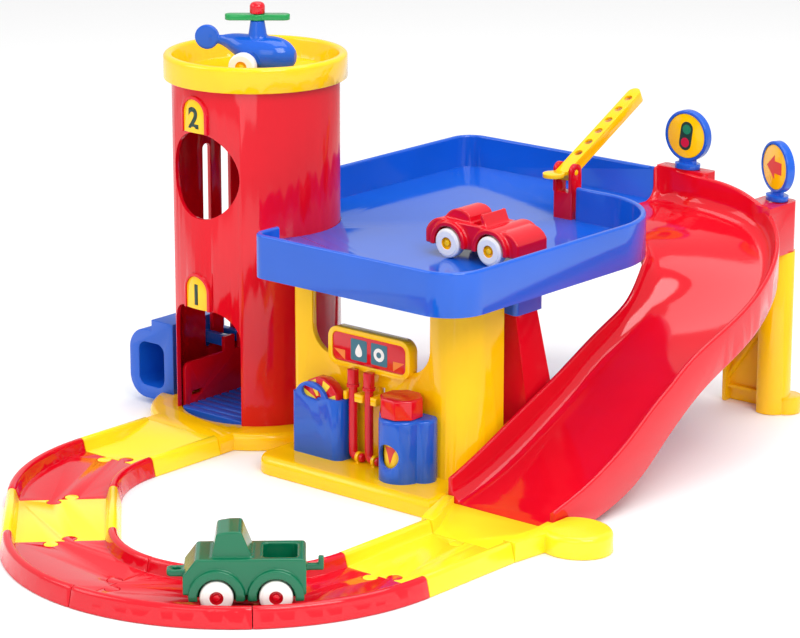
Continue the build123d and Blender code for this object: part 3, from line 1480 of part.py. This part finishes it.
# ================================================================ helicopter
# Each station along the body has its place, half width, half height and middle height.
helicopter_stations = (
    (-25.0, 2.0, 2.2, 19.0),
    (-15.0, 4.0, 4.3, 17.2),
    (-7.0, 8.0, 7.2, 14.6),
    (2.0, 9.5, 9.0, 12.5),
    (10.0, 9.0, 9.0, 12.0),
    (16.5, 6.2, 6.8, 11.6),
    (20.0, 2.5, 3.0, 11.3),
)
helicopter_belly = 3.5
mast_low = 19.0
mast_top = rotor_low - move_gap
mast_pin = 2.0
rotor_thickness = 3.0
rotor_half = 16.5
rotor_width = 6.5
rotor_cap_radius = 3.9
rotor_cap_top = 38.6
tail_x = -27.0
tail_z = 19.3
tail_radius = 6.3
mast_head = rotor_low + rotor_thickness + move_gap
helicopter_axle = (helicopter_axle_x, helicopter_axle_z)
mast_plane = Plane.XY.offset(helicopter_place[2])
mast_spot = helicopter_place[:2]
with BuildPart() as helicopter_body:
    for station_x, half_width, half_height, middle_z in helicopter_stations:
        look = facing(helicopter_heading, helicopter_place[2], *mast_spot)
        with BuildSketch(look.offset(station_x)):
            with Locations((0, middle_z)):
                Ellipse(half_width, half_height)
    loft()
    with BuildSketch(beside(helicopter_place, helicopter_heading, -1.5)):
        with Locations((tail_x, tail_z)):
            Circle(tail_radius)
    extrude(amount=3)
    with BuildSketch(mast_plane.offset(mast_low)):
        with Locations(mast_spot):
            Circle(5.2)
    with BuildSketch(mast_plane.offset(mast_top)):
        with Locations(mast_spot):
            Circle(3.6)
    loft()
    with BuildSketch(mast_plane.offset(mast_top)):
        with Locations(mast_spot):
            Circle(mast_pin)
    extrude(amount=mast_head + 2 - mast_top)
    with BuildSketch(mast_plane):
        with Locations(mast_spot):
            Rectangle(100, 100)
    extrude(amount=helicopter_belly, mode=Mode.SUBTRACT)
    with BuildSketch(beside(helicopter_place, helicopter_heading, -2)):
        with BuildLine():
            Polyline((4, 5), (4, 1.5), (7, move_gap), (14, move_gap), (17, 5), close=True)
        make_face()
    extrude(amount=4)
    for well_face, well_depth in ((well_in, toy_wheel_width), (-well_in, -toy_wheel_width)):
        with BuildSketch(beside(helicopter_place, helicopter_heading, well_face)):
            with Locations(helicopter_axle):
                Circle(well_radius)
        extrude(amount=well_depth, mode=Mode.SUBTRACT)
    with BuildSketch(beside(helicopter_place, helicopter_heading, -fender_out)):
        with Locations(helicopter_axle):
            Circle(toy_axle_radius + pin_gap)
    extrude(amount=2 * fender_out, mode=Mode.SUBTRACT)
helicopter_body.part.label = "helicopter_body"
export_step(helicopter_body.part, "parts/helicopter_body.step")

with BuildPart() as helicopter_rotor:
    with BuildSketch(mast_plane.offset(rotor_low)):
        with Locations(mast_spot):
            SlotOverall(2 * rotor_half, rotor_width, rotation=rotor_heading)
            Circle(rotor_width / 2 + 1)
            Circle(mast_pin + pin_gap, mode=Mode.SUBTRACT)
    extrude(amount=rotor_thickness)
helicopter_rotor.part.label = "helicopter_rotor"
export_step(helicopter_rotor.part, "parts/helicopter_rotor.step")

with BuildPart() as helicopter_cap:
    with BuildSketch(mast_plane.offset(mast_head)):
        with Locations(mast_spot):
            Circle(rotor_cap_radius)
    extrude(amount=rotor_cap_top - mast_head)
    fillet(helicopter_cap.faces().sort_by(Axis.Z)[-1].edges(), radius=2.5)
    with BuildSketch(mast_plane.offset(mast_head)):
        with Locations(mast_spot):
            Circle(mast_pin)
    extrude(amount=2, mode=Mode.SUBTRACT)
helicopter_cap.part.label = "helicopter_cap"
export_step(helicopter_cap.part, "parts/helicopter_cap.step")
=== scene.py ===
# %% [markdown]
# A toy parking garage is a set of glossy moulded plastic parts: a round lift tower, a raised deck,
# a filling station wall, a slide and a road that snaps together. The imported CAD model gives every
# solid its true shape and place. This script adds what the moulding shop and the printer add:
# rounded edges, plastic with a faint moulded skin, and the small printed pictures.

# %% Load the frame
import math

import bmesh
import bpy
from mathutils import Matrix, Vector


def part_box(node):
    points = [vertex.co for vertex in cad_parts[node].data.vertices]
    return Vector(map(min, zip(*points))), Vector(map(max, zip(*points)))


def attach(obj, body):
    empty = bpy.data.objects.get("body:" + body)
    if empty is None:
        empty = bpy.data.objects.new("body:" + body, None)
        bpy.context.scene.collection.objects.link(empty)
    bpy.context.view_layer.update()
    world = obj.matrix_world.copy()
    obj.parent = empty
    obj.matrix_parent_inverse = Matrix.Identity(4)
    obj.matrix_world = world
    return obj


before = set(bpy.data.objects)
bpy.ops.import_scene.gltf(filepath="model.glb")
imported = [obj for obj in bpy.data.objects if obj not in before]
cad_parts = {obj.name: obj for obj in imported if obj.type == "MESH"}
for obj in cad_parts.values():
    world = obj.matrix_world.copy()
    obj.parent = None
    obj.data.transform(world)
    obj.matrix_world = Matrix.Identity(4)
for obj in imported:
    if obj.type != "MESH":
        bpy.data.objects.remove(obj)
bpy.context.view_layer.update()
MM = 0.001

# %% [markdown]
# Colours are given as sRGB hex values. Shaders work in linear light, so one function turns
# a hex value into linear numbers. One more function adds a node with its settings and links, which
# keeps a material readable from top to bottom.


# %% Colour and node helpers
def linear(colour):
    """Linear red, green, blue and alpha of an sRGB hex value."""
    parts = [int(colour[i : i + 2], 16) / 255 for i in (1, 3, 5)]
    return [p / 12.92 if p <= 0.04045 else ((p + 0.055) / 1.055) ** 2.4 for p in parts] + [1.0]


def add_node(tree, kind, settings=None, links=None):
    """Adds a node, sets its properties or sockets by name, and links its inputs."""
    node = tree.nodes.new(kind)
    for key, value in (settings or {}).items():
        if hasattr(node, key):
            setattr(node, key, value)
        else:
            node.inputs[key].default_value = value
    for key, source in (links or {}).items():
        tree.links.new(source, node.inputs[key])
    return node


# %% [markdown]
# Polypropylene and ABS toys come out of a polished steel mould. The surface is glossy, but it is
# never a mirror: the melt leaves a soft waviness a few millimetres long, and handling leaves areas
# that are slightly duller. A little light enters the plastic, which the subsurface weight gives.


# %% Moulded plastic
PATCH_MM = 35
SUBSURFACE_MM = 1.5


def moulded_plastic(name, colour, roughness=0.09, wave_mm=14.0, wave_depth=0.03, inner_light=0.05):
    """Glossy moulded plastic of one colour, with waviness and slightly duller patches."""
    material = bpy.data.materials.new(name)
    material.use_nodes = True
    tree = material.node_tree
    tree.nodes.clear()
    place = add_node(tree, "ShaderNodeTexCoord").outputs["Object"]
    patches = add_node(
        tree,
        "ShaderNodeTexNoise",
        {"Scale": 1 / (PATCH_MM * MM), "Detail": 2.0},
        {"Vector": place},
    )
    dullness = add_node(
        tree,
        "ShaderNodeMapRange",
        {"From Min": 0.3, "From Max": 0.7, "To Min": roughness * 0.85, "To Max": roughness * 1.3},
        {"Value": patches.outputs["Fac"]},
    )
    shade = add_node(
        tree,
        "ShaderNodeMapRange",
        {"From Min": 0.3, "From Max": 0.7, "To Min": 0.96, "To Max": 1.03},
        {"Value": patches.outputs["Fac"]},
    )
    tint = add_node(
        tree,
        "ShaderNodeHueSaturation",
        {"Color": linear(colour)},
        {"Value": shade.outputs["Result"]},
    )
    waves = add_node(
        tree,
        "ShaderNodeTexNoise",
        {"Scale": 1 / (wave_mm * MM), "Detail": 1.0},
        {"Vector": place},
    )
    skin = add_node(
        tree,
        "ShaderNodeBump",
        {"Strength": wave_depth, "Distance": 1.0 * MM},
        {"Height": waves.outputs["Fac"]},
    )
    shader = add_node(
        tree,
        "ShaderNodeBsdfPrincipled",
        {
            "IOR": 1.49,
            "Subsurface Weight": inner_light,
            "Subsurface Radius": (1.0, 0.6, 0.4),
            "Subsurface Scale": SUBSURFACE_MM * MM,
        },
        {
            "Base Color": tint.outputs["Color"],
            "Roughness": dullness.outputs["Result"],
            "Normal": skin.outputs["Normal"],
        },
    )
    add_node(
        tree,
        "ShaderNodeOutputMaterial",
        links={"Surface": shader.outputs["BSDF"]},
    )
    return material


red = moulded_plastic("red polypropylene", "#D6091F")
blue = moulded_plastic("blue polypropylene", "#1259C9")
yellow = moulded_plastic("yellow polypropylene", "#FFC808")
road_yellow = moulded_plastic("road yellow polypropylene", "#FFDF22", roughness=0.17)
green = moulded_plastic("green polypropylene", "#066B48", roughness=0.15)
rotor_green = moulded_plastic("light green polypropylene", "#14934A", roughness=0.16)
tyre_white = moulded_plastic("white soft vinyl", "#F1EEE8", roughness=0.28, inner_light=0.12)
print("materials:", len(bpy.data.materials))


# %% [markdown]
# Sticker and pad-print inks lie on the plastic as a film of a few hundredths of a millimetre. They
# are opaque, with a satin sheen, so a plain shader with a mid roughness is enough.


# %% Printing inks
def printing_ink(name, colour):
    """Opaque satin ink on a sticker or a pad print."""
    material = bpy.data.materials.new(name)
    material.use_nodes = True
    shader = material.node_tree.nodes["Principled BSDF"]
    shader.inputs["Base Color"].default_value = linear(colour)
    shader.inputs["Roughness"].default_value = 0.32
    shader.inputs["IOR"].default_value = 1.48
    return material


ink_black = printing_ink("black green ink", "#123A30")
ink_white = printing_ink("white ink", "#F5F6F4")
ink_teal = printing_ink("teal ink", "#2F7286")
ink_red = printing_ink("red ink", "#D9362B")
ink_orange = printing_ink("orange ink", "#F0812A")
ink_yellow = printing_ink("yellow ink", "#FFDC3C")
ink_green = printing_ink("green ink", "#12805A")
ink_crimson = printing_ink("crimson ink", "#C4123A")

# %% [markdown]
# Which colour each moulded part has. The dictionary goes by the part's name, so a part that is
# forgotten stops the script with its name instead of staying grey.

# %% Colours of the parts
part_colours = {
    red: (
        "tower_shell pump_sign pump_hose_left pump_hose_right can_wheel oil_cap side_leg rear_leg "
        "slide_chute barrier_post road_curve_1 road_curve_2 road_curve_3 road_curve_4 lift_guard "
        "helicopter_cap car_body pickup_front_axle pickup_rear_axle"
    ),
    blue: (
        "jerry_can oil_can deck_tray sign_1_frame sign_2_frame lift_platform lift_grip "
        "helicopter_body"
    ),
    yellow: (
        "tower_base roof_dish floor_label_1 floor_label_2 facade gauge_drum slide_leg "
        "sign_1_face sign_2_face barrier_arm barrier_pin helicopter_axle car_front_axle "
        "car_rear_axle"
    ),
    road_yellow: "slide_apron road_tower road_straight road_slide",
    green: "pickup_body",
    rotor_green: "helicopter_rotor",
    tyre_white: " ".join(
        f"{toy}_tyre_{side}"
        for toy in ("pickup_front", "pickup_rear", "car_front", "car_rear", "helicopter")
        for side in ("left", "right")
    ),
}
coloured = {part: material for material, parts in part_colours.items() for part in parts.split()}
for part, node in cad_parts.items():
    node.data.materials.clear()
    node.data.materials.append(coloured[part])
print("coloured parts:", len(coloured))

# %% [markdown]
# A moulded edge always has a small radius, because a mould is milled with round cutters and the
# melt can't fill a knife edge. That radius is what catches the light. The CAD solids have sharp
# edges, and their mesh is loose triangles, so three modifiers work in turn: Weld joins the
# triangles, Decimate joins flat neighbours into one face, and Bevel rounds each edge that turns
# by more than the limit. The small toys are softer all over, as a child's first vehicles are, so
# they get an even skin of small faces that is then smoothed.

# %% Rounded edges
EDGE_LIMIT = math.radians(32)
soft_toys = {"car_body": 9, "pickup_body": 7, "helicopter_body": 6}
edge_radius = {part: 0.45 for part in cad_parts}
edge_radius.update({part: 0.25 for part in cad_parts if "axle" in part or "hose" in part})
edge_radius.update(floor_label_1=0.15, floor_label_2=0.15, pump_sign=0.15, barrier_pin=0.15)
for part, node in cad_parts.items():
    for face in node.data.polygons:
        face.use_smooth = True
    weld = node.modifiers.new("weld", "WELD")
    weld.merge_threshold = 0.002 * MM
    if part in soft_toys:
        skin = node.modifiers.new("even skin", "REMESH")
        skin.mode = "VOXEL"
        skin.voxel_size = 0.42 * MM
        skin.use_smooth_shade = True
        rounding = node.modifiers.new("soft rounding", "SMOOTH")
        rounding.factor = 0.6
        rounding.iterations = soft_toys[part]
        continue
    flat = node.modifiers.new("flat faces", "DECIMATE")
    flat.decimate_type = "DISSOLVE"
    flat.angle_limit = math.radians(0.6)
    edge = node.modifiers.new("moulded edge", "BEVEL")
    edge.width = edge_radius[part] * MM
    edge.segments = 2
    edge.limit_method = "ANGLE"
    edge.angle_limit = EDGE_LIMIT
    edge.use_clamp_overlap = True
    edge.harden_normals = True
print("rounded:", len(edge_radius))

# %% [markdown]
# Printed pictures are thin films. Each one starts as a flat bmesh shape in its own plane, gets the
# film's thickness by extruding, and is then laid on the part with one matrix: its X goes to the
# right as the viewer sees it, its Y goes up, and its Z comes out of the surface.

# %% Film helpers
FILM = 0.12 * MM


def plane_matrix(origin, right, up):
    """Matrix from a flat shape's own axes to a surface: right, up and out."""
    right, up = Vector(right).normalized(), Vector(up).normalized()
    out = right.cross(up)
    return Matrix.Translation(origin) @ Matrix((right, up, out)).transposed().to_4x4()


def thicken(bm, thickness=FILM):
    """Gives a flat shape its thickness, upwards from its own plane."""
    grown = bmesh.ops.extrude_face_region(bm, geom=bm.faces[:])
    risen = [part for part in grown["geom"] if isinstance(part, bmesh.types.BMVert)]
    bmesh.ops.translate(bm, verts=risen, vec=(0, 0, thickness))
    bmesh.ops.recalc_face_normals(bm, faces=bm.faces[:])


def finish_piece(name, bm, material, body):
    """Turns a bmesh in its final place into a named piece that rides on a body."""
    mesh = bpy.data.meshes.new(name)
    bm.to_mesh(mesh)
    bm.free()
    piece = bpy.data.objects.new(name, mesh)
    bpy.context.collection.objects.link(piece)
    mesh.materials.append(material)
    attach(piece, body)
    return piece


def disc(name, radius, matrix, material, body, stretch=1.0, centre=(0, 0), layer=0):
    """Round or oval film on a surface."""
    bm = bmesh.new()
    bmesh.ops.create_circle(bm, cap_ends=True, segments=40, radius=radius * MM)
    bmesh.ops.scale(bm, vec=(1, stretch, 1), verts=bm.verts)
    bmesh.ops.translate(bm, vec=(centre[0] * MM, centre[1] * MM, layer * FILM), verts=bm.verts)
    thicken(bm)
    bmesh.ops.transform(bm, matrix=matrix, verts=bm.verts)
    return finish_piece(name, bm, material, body)


def panel(
    name, width, height, round_mm, matrix, material, body, centre=(0, 0), layer=0
):
    """Rectangular film with round corners on a surface."""
    bm = bmesh.new()
    bmesh.ops.create_grid(bm, x_segments=1, y_segments=1, size=0.5)
    bmesh.ops.scale(bm, vec=(width * MM, height * MM, 1), verts=bm.verts)
    bmesh.ops.bevel(
        bm,
        geom=bm.verts[:],
        offset=round_mm * MM,
        segments=8,
        profile=0.5,
        affect="VERTICES",
        material=-1,
    )
    bmesh.ops.translate(bm, vec=(centre[0] * MM, centre[1] * MM, layer * FILM), verts=bm.verts)
    thicken(bm)
    bmesh.ops.transform(bm, matrix=matrix, verts=bm.verts)
    return finish_piece(name, bm, material, body)


def outline_film(name, points, matrix, material, body, layer=0):
    """Film with a plain outline on a surface."""
    bm = bmesh.new()
    corners = [bm.verts.new((x * MM, y * MM, layer * FILM)) for x, y in points]
    bm.faces.new(corners)
    thicken(bm)
    bmesh.ops.transform(bm, matrix=matrix, verts=bm.verts)
    return finish_piece(name, bm, material, body)


# %% [markdown]
# The floor plates carry the plain numbers 1 and 2. A text object becomes a mesh first. Each vertex
# is then wrapped round the tower: its distance to the side becomes an angle at the plate's radius.

# %% Floor numbers
LABEL_ANGLE = math.radians(-93)
LABEL_RADIUS = 44.2 * MM
DIGIT_HEIGHT = 10.5 * MM
DIGIT_PLACE = 0.46
CAPITAL_SHARE = 0.72
for digit in "12":
    low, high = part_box(f"floor_label_{digit}")
    text = bpy.data.curves.new(f"digit_{digit}_text", "FONT")
    text.body = digit
    text.size = DIGIT_HEIGHT / CAPITAL_SHARE
    text.offset = 0.5 * MM
    text.align_x = "CENTER"
    holder = bpy.data.objects.new(f"digit_{digit}_holder", text)
    bpy.context.collection.objects.link(holder)
    depsgraph = bpy.context.evaluated_depsgraph_get()
    flat_text = bpy.data.meshes.new_from_object(holder.evaluated_get(depsgraph))
    bpy.data.objects.remove(holder)
    bm = bmesh.new()
    bm.from_mesh(flat_text)
    thicken(bm, FILM)
    middle = low[2] + (high[2] - low[2]) * DIGIT_PLACE - DIGIT_HEIGHT / 2
    for vertex in bm.verts:
        side, rise, out = vertex.co
        angle = LABEL_ANGLE + side / LABEL_RADIUS
        reach = LABEL_RADIUS + out
        vertex.co = (reach * math.cos(angle), reach * math.sin(angle), middle + rise)
    finish_piece(f"digit_{digit}", bm, ink_black, "garage")
print("digits at radius", round(LABEL_RADIUS / MM, 1), "mm")

# %% [markdown]
# The pump sign has a printed sticker: two teal squares with simple white marks on a red ground,
# and warm bands at both ends. The marks are a drop and a wheel.

# %% Pump sign
low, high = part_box("pump_sign")
sign_face = plane_matrix(
    ((low[0] + high[0]) / 2, low[1], (low[2] + high[2]) / 2),
    (1, 0, 0),
    (0, 0, 1),
)
half_sign = (high[0] - low[0]) / 2 / MM
MARK_X = 6.6
for side in (-1, 1):
    tag = "left" if side < 0 else "right"
    panel(
        f"sign_square_{tag}",
        width=10.5,
        height=11.0,
        round_mm=0.8,
        matrix=sign_face,
        material=ink_teal,
        body="garage",
        centre=(side * MARK_X, 0),
    )
    bands = (
        (side * half_sign * 0.96, -1.5),
        (side * half_sign * 0.66, -6.4),
        (side * half_sign * 0.66, -1.5),
    )
    outline = bands if side > 0 else bands[::-1]
    outline_film(f"sign_band_{tag}", outline, sign_face, ink_orange, "garage")
DROP_POINTS = 32
drop = []
for step in range(DROP_POINTS):
    t = 2 * math.pi * step / DROP_POINTS
    drop.append((3.0 * math.sin(t) * math.sin(t / 2) ** 1.2 - MARK_X, 3.4 * math.cos(t)))
outline_film("sign_drop", drop[::-1], sign_face, ink_white, "garage", layer=1)
for mark, radius, ink, layer in (
    ("sign_wheel", 3.4, ink_white, 1),
    ("sign_wheel_hub", 1.5, ink_teal, 2),
):
    disc(mark, radius, sign_face, ink, "garage", centre=(MARK_X, 0), layer=layer)
print("sign is", round(2 * half_sign, 1), "mm wide")

# %% [markdown]
# The two swivel signs have a yellow face. One shows a traffic light, the other an arrow, both in
# the plain forms that road signs share.


# %% Swivel signs
FACE_OUT = 0.4 * MM


def sign_matrix(node, polar):
    """Matrix on the front of a sign's face plate, which looks out at a compass angle."""
    low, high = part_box(node)
    turn = math.radians(polar)
    out = Vector((math.cos(turn), math.sin(turn), 0))
    centre = (Vector(low) + Vector(high)) / 2
    return plane_matrix(centre + out * FACE_OUT, (-math.sin(turn), math.cos(turn), 0), (0, 0, 1))


LAMP_RADIUS = 2.6
LAMP_HEIGHT = 3.6
light_face = sign_matrix("sign_1_face", -90) @ Matrix.Rotation(math.radians(-8), 4, "Z")
panel("light_case", 7.6, 15.5, 3.7, light_face, ink_black, "sign_1")
for lamp_name, ink, height in (
    ("light_green", ink_green, LAMP_HEIGHT),
    ("light_red", ink_crimson, -LAMP_HEIGHT),
):
    disc(
        lamp_name,
        LAMP_RADIUS,
        light_face,
        ink,
        "sign_1",
        centre=(0, height),
        layer=1,
    )
arrow_face = sign_matrix("sign_2_face", -115)
arrow = ((-7.5, 0), (0, -6.5), (0, -3.2), (7.0, -3.2), (7.0, 3.2), (0, 3.2), (0, 6.5))
outline_film("arrow", arrow, arrow_face, ink_red, "sign_2")
print("sign faces lie", round(FACE_OUT / MM, 1), "mm in front of the plates' middles")

# %% [markdown]
# The oil can has a gauge behind its round window: a yellow drum with a red wedge printed on it,
# which the cap turns. The wedge starts as a flat grid that widens upwards. Each vertex is then
# wrapped round the drum, so that the print turns with it and stays clear of the can.

# %% Oil gauge
low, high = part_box("gauge_drum")
drum_radius = (high[0] - low[0]) / 2
drum_x, drum_y = (low[0] + high[0]) / 2, (low[1] + high[1]) / 2
GAUGE_HEIGHT = 22.5 * MM
HALF_WEDGE = 3.6
TIP_WIDTH = 0.05
HALF_RISE = 4.3
PRINT_GAP = 0.02 * MM
bm = bmesh.new()
bmesh.ops.create_grid(bm, x_segments=12, y_segments=1, size=1)
for vertex in bm.verts:
    spread = HALF_WEDGE * (vertex.co.y + 1) / 2 + TIP_WIDTH
    vertex.co = (vertex.co.x * spread * MM, vertex.co.y * HALF_RISE * MM, PRINT_GAP)
thicken(bm)
for vertex in bm.verts:
    side, rise, out = vertex.co
    angle = math.radians(-90) + side / drum_radius
    reach = drum_radius + out
    vertex.co = (
        drum_x + reach * math.cos(angle),
        drum_y + reach * math.sin(angle),
        GAUGE_HEIGHT + rise,
    )
finish_piece("gauge_wedge", bm, ink_red, "oil_knob")
print("drum radius", round(drum_radius / MM, 2), "mm")

# %% [markdown]
# The jerry can's turning wheel has yellow sectors on its face, like a fairground wheel.

# %% Can wheel
low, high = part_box("can_wheel")
wheel_face = plane_matrix(
    ((low[0] + high[0]) / 2, low[1], (low[2] + high[2]) / 2),
    (1, 0, 0),
    (0, 0, 1),
)
SECTORS = 7
INNER_REACH, OUTER_REACH = 3.0, 11.4
for step in range(SECTORS):
    start = 2 * math.pi * step / SECTORS
    end = start + math.pi / SECTORS
    sector = [
        (reach * math.cos(angle), reach * math.sin(angle))
        for reach, angle in (
            (OUTER_REACH, start),
            (OUTER_REACH, end),
            (INNER_REACH, end),
            (INNER_REACH, start),
        )
    ]
    outline_film(
        f"wheel_sector_{step + 1}", sector, wheel_face, ink_yellow, "can_wheel"
    )
print("wheel sectors:", SECTORS)

# %% [markdown]
# The toy wheels are white vinyl discs that are moulded over a small coloured hub, so most of the
# wheel's face is white. A thin ring on the outer face of each wheel closes the face in towards the
# hub. It starts as two circles whose edges are bridged.


# %% Wheel faces
RING_OUTER, RING_INNER = 6.2, 3.1
RING_THICKNESS = 0.35
TYRE_OUT = 14.95


def wheel_faces(axle, body, toy_heading):
    """A white ring on both outer faces of an axle's wheels, round the coloured hub."""
    low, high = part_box(axle)
    centre = (Vector(low) + Vector(high)) / 2
    turn = math.radians(toy_heading - 90)
    outward = Vector((math.cos(turn), math.sin(turn), 0))
    for tag, side in (("right", 1), ("left", -1)):
        bm = bmesh.new()
        bmesh.ops.create_circle(bm, segments=40, radius=RING_OUTER * MM)
        bmesh.ops.create_circle(bm, segments=40, radius=RING_INNER * MM)
        bmesh.ops.bridge_loops(bm, edges=bm.edges[:])
        thicken(bm, RING_THICKNESS * MM)
        rim = [edge for edge in bm.edges if edge.calc_face_angle(0) > 1]
        bmesh.ops.bevel(
            bm, geom=rim, offset=0.15 * MM, segments=2, profile=0.5, affect="EDGES", material=-1
        )
        out = outward * side
        place = centre + out * TYRE_OUT * MM
        matrix = plane_matrix(place, Vector((0, 0, 1)).cross(out), (0, 0, 1))
        bmesh.ops.transform(bm, matrix=matrix, verts=bm.verts)
        finish_piece(f"{axle}_face_{tag}", bm, tyre_white, body)


for axle, body, toy_heading in (
    ("pickup_front_axle", "pickup_front", -138),
    ("pickup_rear_axle", "pickup_rear", -138),
    ("car_front_axle", "car_front", 1),
    ("car_rear_axle", "car_rear", 1),
    ("helicopter_axle", "helicopter_wheels", 25),
):
    wheel_faces(axle, body, toy_heading)
print("wheel rings are", RING_THICKNESS, "mm thick")

# %% [markdown]
# The set stands on a white floor. Large soft lights from the right, the left, the front and from
# above give the long soft highlights of polished plastic, and a white sky fills the shadows.

# %% Floor and light
bm = bmesh.new()
bmesh.ops.create_grid(bm, x_segments=1, y_segments=1, size=12)
floor_mesh = bpy.data.meshes.new("studio_floor")
bm.to_mesh(floor_mesh)
bm.free()
floor = bpy.data.objects.new("studio_floor", floor_mesh)
FLOOR_DROP = 0.3 * MM
floor.location.z = -FLOOR_DROP
bpy.context.collection.objects.link(floor)
floor_mesh.materials.append(printing_ink("white studio paper", "#FAFAFA"))
floor_mesh.materials[0].node_tree.nodes["Principled BSDF"].inputs["Roughness"].default_value = 0.7

CENTRE = Vector((0.11, -0.03, 0.08))
for light_name, away, size, power in (
    ("softbox_right", (0.9, -0.35, 0.9), 0.7, 9),
    ("softbox_left", (-0.9, -0.9, 0.9), 0.8, 5),
    ("softbox_top", (0.1, 0.3, 1.5), 1.2, 11),
    ("softbox_front", (0.5, -1.4, 0.7), 0.8, 3),
):
    lamp = bpy.data.lights.new(light_name, "AREA")
    lamp.size = size
    lamp.energy = power
    lamp_object = bpy.data.objects.new(light_name, lamp)
    lamp_object.location = CENTRE + Vector(away)
    lamp_object.rotation_euler = (-Vector(away)).to_track_quat("-Z", "Y").to_euler()
    bpy.context.collection.objects.link(lamp_object)
world = bpy.data.worlds.new("studio sky")
world.use_nodes = True
world.node_tree.nodes["Background"].inputs["Color"].default_value = linear("#FFFFFF")
world.node_tree.nodes["Background"].inputs["Strength"].default_value = 0.74
bpy.context.scene.world = world
print("floor", round(FLOOR_DROP / MM, 1), "mm under the set")

# %% [markdown]
# The camera stands where the photograph was taken from: about 1.6 m from the middle of the set and
# half a metre up, with a long lens. The view transform is Standard, which keeps bright plastic
# colours as saturated as they are picked.

# %% Camera
camera_data = bpy.data.cameras.new("camera")
camera_data.sensor_width = 36
camera_data.lens = 149.22
camera = bpy.data.objects.new("camera", camera_data)
CAMERA_PLACE = (1.14314, -1.22396, 0.52044)
CAMERA_DOWN, CAMERA_TURN = 15.58, 40.51
camera.location = CAMERA_PLACE
camera.rotation_euler = (math.radians(90 - CAMERA_DOWN), 0, math.radians(CAMERA_TURN))
bpy.context.collection.objects.link(camera)
bpy.context.scene.camera = camera
bpy.context.scene.view_settings.view_transform = "Standard"
print("camera", round((camera.location - CENTRE).length, 2), "m from the middle of the set")
